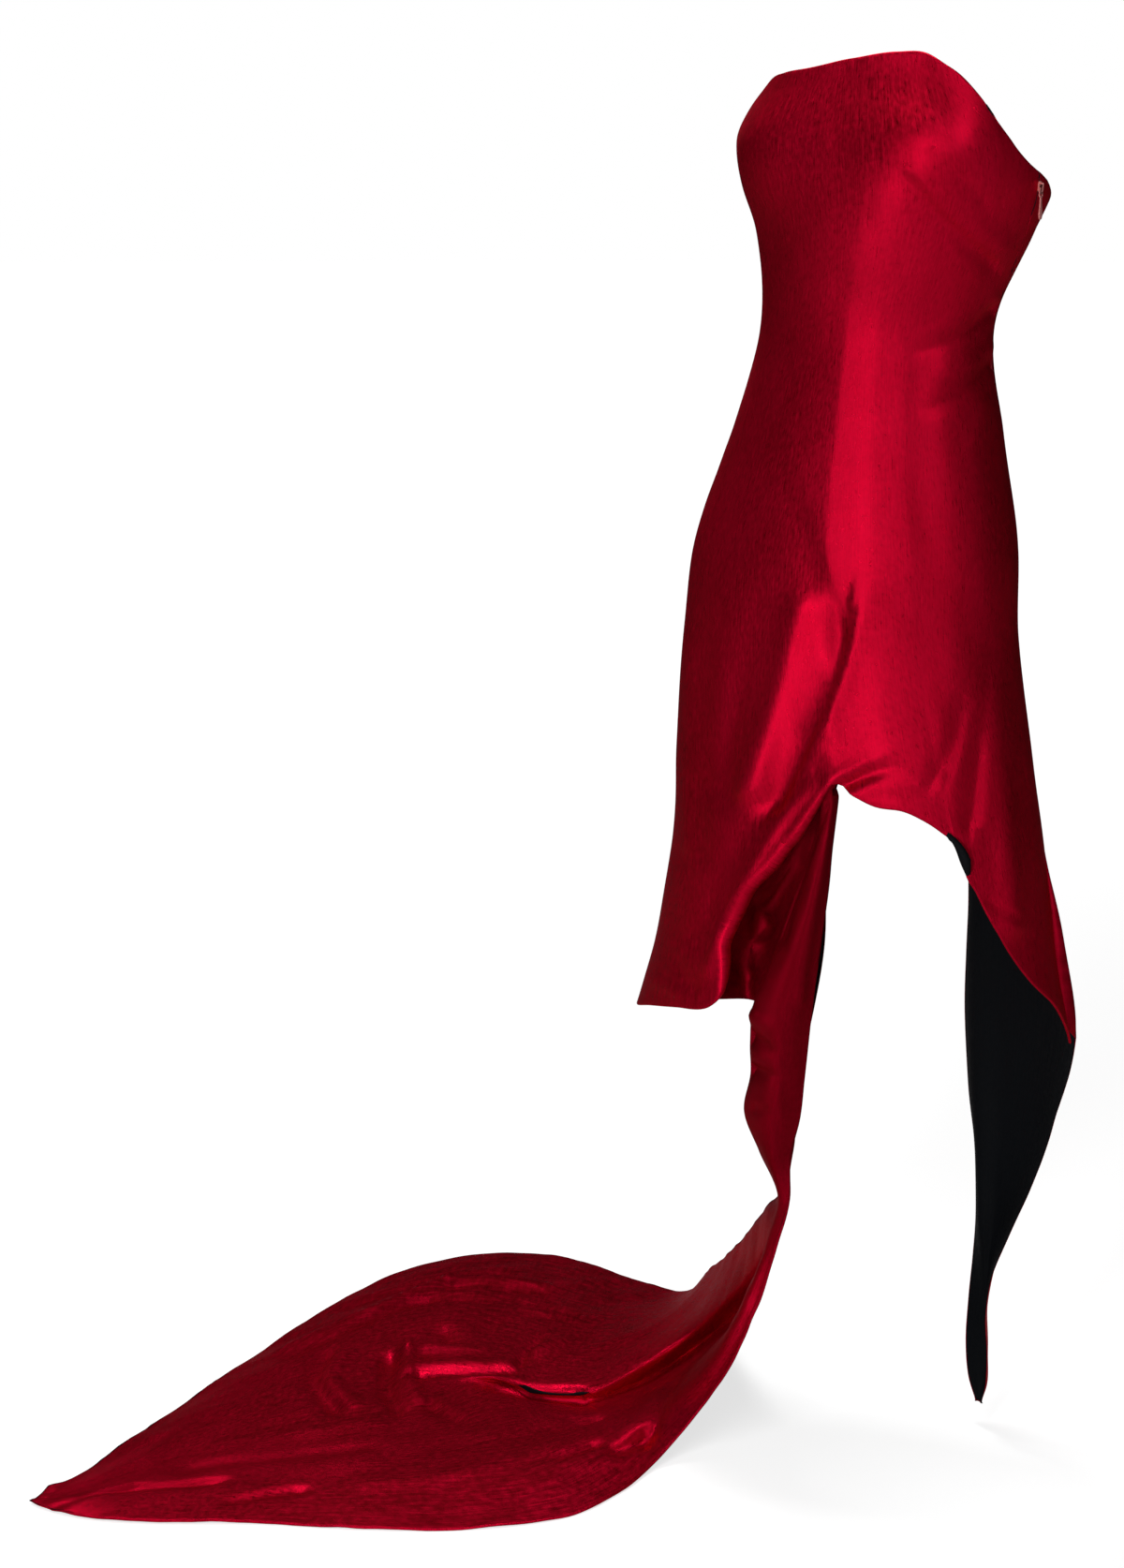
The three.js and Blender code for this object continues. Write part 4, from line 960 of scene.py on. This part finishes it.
class GOWN_OT_inset(bpy.types.Operator):
    """The inset sewn behind the lip, which closes the pocket to the strip"""

    bl_idname = "gown.inset"
    bl_label = "Inset"

    def execute(self, context):
        settings = context.scene.gown
        lip = np.array([on_plan(in_from_tube(a, h, SEAT)) for a, h in zip(INSET["angle"], INSET["height"])])
        guides = [lip] + [
            np.stack([INSET[name + "_" + axis] for axis in "xyz"], -1) for name in ("pocket", "fold")]
        grid = guided(np.stack(guides, 1), np.linspace(0, 1, 60), np.linspace(0, 1, 41))[::-1]
        cloth = Cloth()
        cloth.add(grid, grid_uv(grid))
        normal = cloth.normals()
        out = crease_out(POCKET_CREASES, *as_seen(cloth.points)) + 0.8 * ripple(cloth.points, 24)
        cloth.points += settings.crease_strength * out[:, None] * normal
        # Painted shade over the whole inset: a darker satin colour.
        painted_shade = np.full(len(cloth.points), INSET_PAINTED_SHADE)
        piece = finish_cloth(cloth.mesh_object("inset", [satin(settings), lining(settings)], painted_shade), settings)
        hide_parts("drape_inset")
        declare(piece)
        return {"FINISHED"}


class GOWN_OT_train(bpy.types.Operator):
    """The strip that falls folded from the pinch and the train that it opens into on the floor"""

    bl_idname = "gown.train"
    bl_label = "Strip and train"

    def execute(self, context):
        settings = context.scene.gown
        stations = TRAIN.copy()
        seat = on_plan(in_from_tube(STRIP_ANGLE, STRIP_TOP, STRIP_SEAT))
        stations[0] += seat - stations[0, 1]
        columns = np.linspace(0, 1, 113)
        rows = np.linspace(0, 1, 300)
        grid = guided(stations, rows, columns)
        cloth = Cloth()
        ids = cloth.add(grid, grid_uv(grid))
        normal = cloth.normals()
        place = on_plan(cloth.points)
        lying = np.clip((LYING_FROM - place[:, 2]) / LYING_FADE, 0, 1)
        out = (1 - lying) * facing_eye(cloth.points, normal) * crease_out(CREASES, *as_seen(cloth.points))
        out += lying * crease_out(FLOOR_CREASES, place[:, 0], place[:, 1])
        out += lying * (1.3 * ripple(cloth.points, 34) + 0.8 * ripple(cloth.points + 200, 15))
        out += (1 - lying) * 0.5 * ripple(cloth.points, 20)
        cloth.points += settings.crease_strength * out[:, None] * normal
        above = cloth.points[:, 2] + HOLD_HEIGHT
        cloth.points[:, 2] = np.maximum(above, FLOOR_GAP) - HOLD_HEIGHT
        strip = np.clip((cloth.points[ids[:, -1], 2] + HOLD_HEIGHT - 250) / 90, 0, 1)
        tip = np.clip((place[ids[:, -1], 0] - TRAIN[-1, 0, 0]) / 60, 0.2, 1)
        radius = settings.hem_radius * tip
        cloth.turn_edge(ids[::-1, 0], radius[::-1], flat=3 * tip[::-1])
        cloth.turn_edge(ids[:, -1], radius * (1 - 0.75 * strip), flat=3 * tip * (1 - 0.95 * strip))
        cloth.turn_edge(ids[-1][::-1], 0.25, flat=0.3)
        # Painted shade on the strip: a darker satin colour that fades out towards the floor.
        painted_shade = STRIP_PAINTED_SHADE * np.clip((cloth.points[:, 2] + HOLD_HEIGHT - STRIP_END) / PAINTED_SHADE_FADE, 0, 1)
        piece = cloth.mesh_object("train_cloth", [satin(settings), lining(settings)], painted_shade)
        finish_cloth(piece, settings)
        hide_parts("train", "train_lining")
        declare(piece)
        return {"FINISHED"}


def coil_tree():
    """Geometry Nodes that set the links of a zip's coil along a line of edges."""
    tree = bpy.data.node_groups.new("Zip coil", "GeometryNodeTree")
    add_sockets(tree, "INPUT", (
        ("Geometry", "Geometry"), ("Spacing", "Float"), ("Link radius", "Float"), ("Wire radius", "Float"),
        ("Material", "Material")))
    add_sockets(tree, "OUTPUT", (("Geometry", "Geometry"),))
    given = tree.nodes.new("NodeGroupInput").outputs

    def made(kind, output, entries, **settings):
        return add_node(tree, kind, entries, **settings).outputs[output]

    line = made("GeometryNodeMeshToCurve", "Curve", {"Mesh": given["Geometry"]})
    spacing = {"Curve": line, "Length": given["Spacing"]}
    even = made("GeometryNodeResampleCurve", "Curve", spacing, mode="LENGTH")
    ring, wire = (
        made("GeometryNodeCurvePrimitiveCircle", "Curve", {"Radius": given[name], "Resolution": corners})
        for name, corners in (("Link radius", 10), ("Wire radius", 5)))
    swept = made("GeometryNodeCurveToMesh", "Mesh", {"Curve": ring, "Profile Curve": wire})
    leaning = made("GeometryNodeTransform", "Geometry", {"Geometry": swept, "Rotation": (0.4, 0, 0)})
    tangent = made("GeometryNodeInputTangent", "Tangent", {})
    turn = made("FunctionNodeAlignRotationToVector", "Rotation", {"Vector": tangent}, axis="Z")
    links = made("GeometryNodeInstanceOnPoints", "Instances", {
        "Points": even, "Instance": leaning, "Rotation": turn})
    real = made("GeometryNodeRealizeInstances", "Geometry", {"Geometry": links})
    finished = made("GeometryNodeSetMaterial", "Geometry", {"Geometry": real, "Material": given["Material"]})
    add_node(tree, "NodeGroupOutput", {"Geometry": finished})
    return tree


class GOWN_OT_zip(bpy.types.Operator):
    """The zip's tape behind the left seam and the coil that closes it"""

    bl_idname = "gown.zip"
    bl_label = "Zip tape and coil"

    def execute(self, context):
        settings = context.scene.gown
        height = np.linspace(ZIP_FOOT, ZIP_TOP, 120)
        centre = along(LEFT_SEAM, "height", height, "angle")
        half = np.degrees(TAPE_HALF / along(BODY, "height", height, "half"))
        side = np.linspace(-1, 1, 7)
        grid = tube_point(centre[:, None] + side[None] * half[:, None], height[:, None])
        cloth = Cloth()
        cloth.add(grid, grid_uv(grid))
        cloth.points -= TAPE_DEPTH * cloth.normals()
        piece = finish_cloth(cloth.mesh_object("zip_tape_cloth", [zip_cloth(settings)]), settings)
        piece.modifiers[0].material_offset = 0
        piece.modifiers[0].material_offset_rim = 0
        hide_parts("zip_tape")
        declare(
            piece)

        line = [in_from_tube(a, h, COIL_DEPTH) / 1000 for a, h in zip(centre, height) if h < COIL_TOP]
        mesh = bpy.data.meshes.new("zip_coil")
        mesh.from_pydata(line, [(k, k + 1) for k in range(len(line) - 1)], [])
        coil = add_object("zip_coil", mesh)
        tree = coil_tree()
        nodes = coil.modifiers.new("Coil", "NODES")
        nodes.node_group = tree
        given = {"Spacing": 0.01 / settings.coil_turns, "Link radius": LINK_RADIUS_M,
                 "Wire radius": WIRE_RADIUS_M, "Material": zip_nylon()}
        for socket in tree.interface.items_tree:
            if socket.in_out == "INPUT" and socket.name in given:
                nodes[socket.identifier] = given[socket.name]
        context.view_layer.update()
        made = bpy.data.meshes.new_from_object(coil.evaluated_get(context.evaluated_depsgraph_get()))
        coil.modifiers.clear()
        coil.data = made
        made.polygons.foreach_set("use_smooth", [True] * len(made.polygons))
        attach(coil, GOWN_BODY)
        return {"FINISHED"}


def slider_frame():
    """The slider's place on the seam in millimetres, and its directions out, across and up."""
    def at(height, turn=0.0):
        return tube_point(along(LEFT_SEAM, "height", height, "angle") + turn, height)

    up = unit(at(SLIDER_HEIGHT + 6) - at(SLIDER_HEIGHT - 6))
    out = unit(np.cross(at(SLIDER_HEIGHT, -2) - at(SLIDER_HEIGHT), up))
    out *= np.sign(out[0])
    return at(SLIDER_HEIGHT), out, unit(np.cross(up, out)), up


def bend(start, control, end, steps=8):
    """Points of one quadratic curve, without its first one."""
    t = np.linspace(0, 1, steps + 1)[1:, None]
    start, control, end = (np.array(point, float) for point in (start, control, end))
    return list((1 - t) ** 2 * start + 2 * t * (1 - t) * control + t**2 * end)


def rounded_plate(outlines, thick, edge):
    """A flat piece with rounded edges in the plane of its outlines (the first, less the others), as bmesh."""
    flat = bpy.data.curves.new("outline", "CURVE")
    flat.dimensions = "2D"
    flat.fill_mode = "BOTH"
    flat.extrude = thick / 2 - edge
    flat.bevel_depth = edge
    flat.bevel_resolution = 3
    flat.offset = -edge
    for outline in outlines:
        spline = flat.splines.new("POLY")
        spline.points.add(len(outline) - 1)
        for point, (x, y) in zip(spline.points, outline):
            point.co = (x, y, 0, 1)
        spline.use_cyclic_u = True
    carrier = add_object("outline", flat)
    bpy.context.view_layer.update()
    made = bmesh.new()
    mesh = bpy.data.meshes.new_from_object(carrier.evaluated_get(bpy.context.evaluated_depsgraph_get()))
    made.from_mesh(mesh)
    bpy.data.objects.remove(carrier)
    bmesh.ops.remove_doubles(made, verts=made.verts, dist=1e-4)
    bmesh.ops.recalc_face_normals(made, faces=made.faces)
    return made


def placed(made, origin, x_axis, y_axis, z_axis):
    """Moves a bmesh in millimetres to a place and directions, in metres."""
    for vert in made.verts:
        x, y, z = vert.co
        moved = np.array(origin) + x * np.array(x_axis) + y * np.array(y_axis) + z * np.array(z_axis)
        vert.co = moved / 1000
    bmesh.ops.recalc_face_normals(made, faces=made.faces)
    return made


def joined(name, parts, material):
    """One smooth object from several bmeshes."""
    mesh = bpy.data.meshes.new(name)
    whole = bmesh.new()
    for part in parts:
        step = bpy.data.meshes.new("step")
        part.to_mesh(step)
        part.free()
        whole.from_mesh(step)
        bpy.data.meshes.remove(step)
    whole.to_mesh(mesh)
    whole.free()
    mesh.shade_smooth()
    mesh.materials.append(material)
    return add_object(name, mesh)


class GOWN_OT_slider(bpy.types.Operator):
    """The zip's slider with its arch, and the pull tab that hangs from a pin under the arch"""

    bl_idname = "gown.slider"
    bl_label = "Slider and pull"

    def execute(self, context):
        settings = context.scene.gown
        at, out, across, up = slider_frame()
        turn = np.linspace(0, 2 * math.pi, 48, endpoint=False)
        narrow = np.where(np.sin(turn) > 0, 1, 0.86) * (1 - 0.12 * np.cos(2 * turn) ** 2)
        outline = np.stack(
            [2.5 * signed_power(np.cos(turn), 0.7) * narrow, 5 * signed_power(np.sin(turn), 0.7)], -1)
        plate = placed(rounded_plate([outline], SLIDER_THICK, 0.35), at + 0.4 * out, across, up, out)
        # The arch from its side, out and up.
        side = [(1.0, -4.2), (3.4, -4.2), *bend((3.4, -4.2), (4.6, -4.2), (4.6, -2.4)), (4.6, 2.4),
                *bend((4.6, 2.4), (4.6, 4.2), (3.4, 4.2)), (1.0, 4.2)]
        window = [(1.2, -2.6), (1.2, 2.6), (3.4, 2.6), (3.4, -2.6)]
        arch = placed(rounded_plate([side, window], SLIDER_THICK, 0.3), at, out, up, -across)
        slider = joined("slider_rounded", [plate, arch], zip_metal(settings))
        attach(slider, GOWN_BODY)
        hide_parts("zip_slider")

        pin_at = at + PIN_OUT * out - PIN_DOWN * up
        level = unit(np.array([across[0], across[1], 0.0]))
        facing = np.cross(level, (0, 0, 1))
        # The tab from its face, below the pin: a ring that narrows to a neck and widens to a drop.
        half = [*bend((-2.5, -5.6), (-2.5, -7.6), (-1.1, -8)), *bend((-1.1, -8), (-1.1, -12), (-2.3, -22.4)),
                *bend((-2.3, -22.4), (-2.3, -27), (0, -27))]
        shape = [(-2.5, 0), (-2.5, -5.6), *half, *[(-x, y) for x, y in half[-2::-1]], (2.5, -5.6), (2.5, 0)]
        hole = [(-1.5, -0.3), (1.5, -0.3), (1.5, -5), *bend((1.5, -5), (1.5, -6.5), (0, -6.5)),
                *bend((0, -6.5), (-1.5, -6.5), (-1.5, -5))]
        tab = rounded_plate([shape, hole], PULL_THICK, 0.35)
        for vert in tab.verts:
            vert.co.z *= 1 + 0.3 * math.exp(-(((vert.co.y + 21) / 5) ** 2))
        pin = bmesh.new()
        bmesh.ops.create_cone(
            pin, cap_ends=True, segments=24, radius1=PIN_RADIUS, radius2=PIN_RADIUS, depth=PIN_LENGTH)
        parts = [placed(tab, pin_at, level, (0, 0, 1), facing), placed(pin, pin_at, facing, (0, 0, 1), level)]
        pull = joined("pull_rounded", parts, zip_metal(settings))
        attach(pull, PULL_BODY)
        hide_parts("zip_pull")
        return {"FINISHED"}


def plan_metres(point):
    """A point of the plan in the frame's metres."""
    return Vector(plan_point(np.array(point)) / 1000)


def aimed(place, target):
    """The turn that points a camera or a light from its place at a target."""
    return (target - place).to_track_quat("-Z", "Y").to_euler()


def area_light(name, place, target, size, power):
    """A rectangular light that faces its target."""
    lamp = bpy.data.lights.new(name, "AREA")
    lamp.shape = "RECTANGLE"
    lamp.size, lamp.size_y = size
    lamp.energy = power
    made = add_object(name, lamp)
    made.location = place
    made.rotation_euler = aimed(place, target)


class GOWN_OT_stage(bpy.types.Operator):
    """The camera, the pale floor and the soft studio light"""

    bl_idname = "gown.stage"
    bl_label = "Camera, floor and light"

    def execute(self, context):
        settings = context.scene.gown
        lens = bpy.data.cameras.new("Studio camera")
        lens.lens = LENS_MM
        lens.sensor_width = SENSOR_MM
        camera = add_object("Studio camera", lens)
        camera.location = plan_metres(EYE)
        camera.rotation_euler = aimed(plan_metres(EYE), plan_metres(LOOK_AT))
        context.scene.camera = camera

        floor_mesh = bpy.data.meshes.new("floor")
        made = bmesh.new()
        bmesh.ops.create_circle(made, cap_ends=True, segments=96, radius=FLOOR_REACH_M)
        bmesh.ops.translate(made, verts=made.verts, vec=(0, 0, -HOLD_HEIGHT / 1000))
        made.to_mesh(floor_mesh)
        made.free()
        floor_mesh.materials.append(floor_paper())
        floor = add_object("floor", floor_mesh)

        context.scene.world = studio_world(settings.room_light)
        context.scene.view_settings.view_transform = "Standard"
        for name, place, target, size, share in LIGHTS:
            area_light(name, plan_metres(place), plan_metres(target), size, settings.key_power * share)
        return {"FINISHED"}


def studio_world(strength):
    """A white ground for the camera and a dimmer soft light from all round."""
    world = bpy.data.worlds.new("Studio")
    world.use_nodes = True
    tree = world.node_tree
    room = tree.nodes["Background"]
    fill(tree, room, {"Color": (1, 1, 1, 1), "Strength": strength})
    white = add_node(tree, "ShaderNodeBackground", {"Color": (1, 1, 1, 1)})
    to_camera = tree.nodes.new("ShaderNodeLightPath").outputs["Is Camera Ray"]
    mix = add_node(tree, "ShaderNodeMixShader", {
        "Fac": to_camera, 1: room.outputs["Background"], 2: white.outputs["Background"]})
    fill(tree, tree.nodes["World Output"], {"Surface": mix.outputs["Shader"]})
    return world


def floor_paper():
    """Pale paper that brightens to a white ground far from the gown."""
    material, tree, shader = new_material("Pale floor")
    to_camera = tree.nodes.new("ShaderNodeLightPath").outputs["Is Camera Ray"]
    place = tree.nodes.new("ShaderNodeTexCoord").outputs["Object"]
    reach = add_node(tree, "ShaderNodeVectorMath", {0: place}, operation="LENGTH")
    fade = add_node(tree, "ShaderNodeMapRange", {
        "Value": reach.outputs["Value"], "From Min": 1.6, "From Max": 4.5, "To Min": 0.72, "To Max": 1.05})
    glow = add_node(tree, "ShaderNodeMath", {0: to_camera, 1: fade.outputs["Result"]}, operation="MULTIPLY")
    fill(tree, shader, {
        "Base Color": (0.86, 0.86, 0.86, 1), "Roughness": 0.9, "Specular IOR Level": 0.1,
        "Emission Color": (1, 1, 1, 1), "Emission Strength": glow.outputs["Value"]})
    return material


class GOWN_PT_panel(bpy.types.Panel):
    """Lists the gown's sizes, colours and pieces"""

    bl_label = "Gown"
    bl_idname = "GOWN_PT_panel"
    bl_space_type = "VIEW_3D"
    bl_region_type = "UI"
    bl_category = "Gown"

    def draw(self, context):
        for name in GownSettings.__annotations__:
            self.layout.prop(context.scene.gown, name)
        for operator in OPERATORS:
            self.layout.operator(operator.bl_idname)


OPERATORS = (
    GOWN_OT_front, GOWN_OT_back, GOWN_OT_inset, GOWN_OT_train, GOWN_OT_zip, GOWN_OT_slider, GOWN_OT_stage,
)
CLASSES = (GownSettings, *OPERATORS, GOWN_PT_panel)


def register():
    for entry in CLASSES:
        bpy.utils.register_class(entry)
    bpy.types.Scene.gown = PointerProperty(type=GownSettings)


def unregister():
    del bpy.types.Scene.gown
    for entry in reversed(CLASSES):
        bpy.utils.unregister_class(entry)


def main():
    register()
    for operator in OPERATORS:
        group, name = operator.bl_idname.split(".")
        getattr(getattr(bpy.ops, group), name)()


if __name__ == "__main__":
    main()
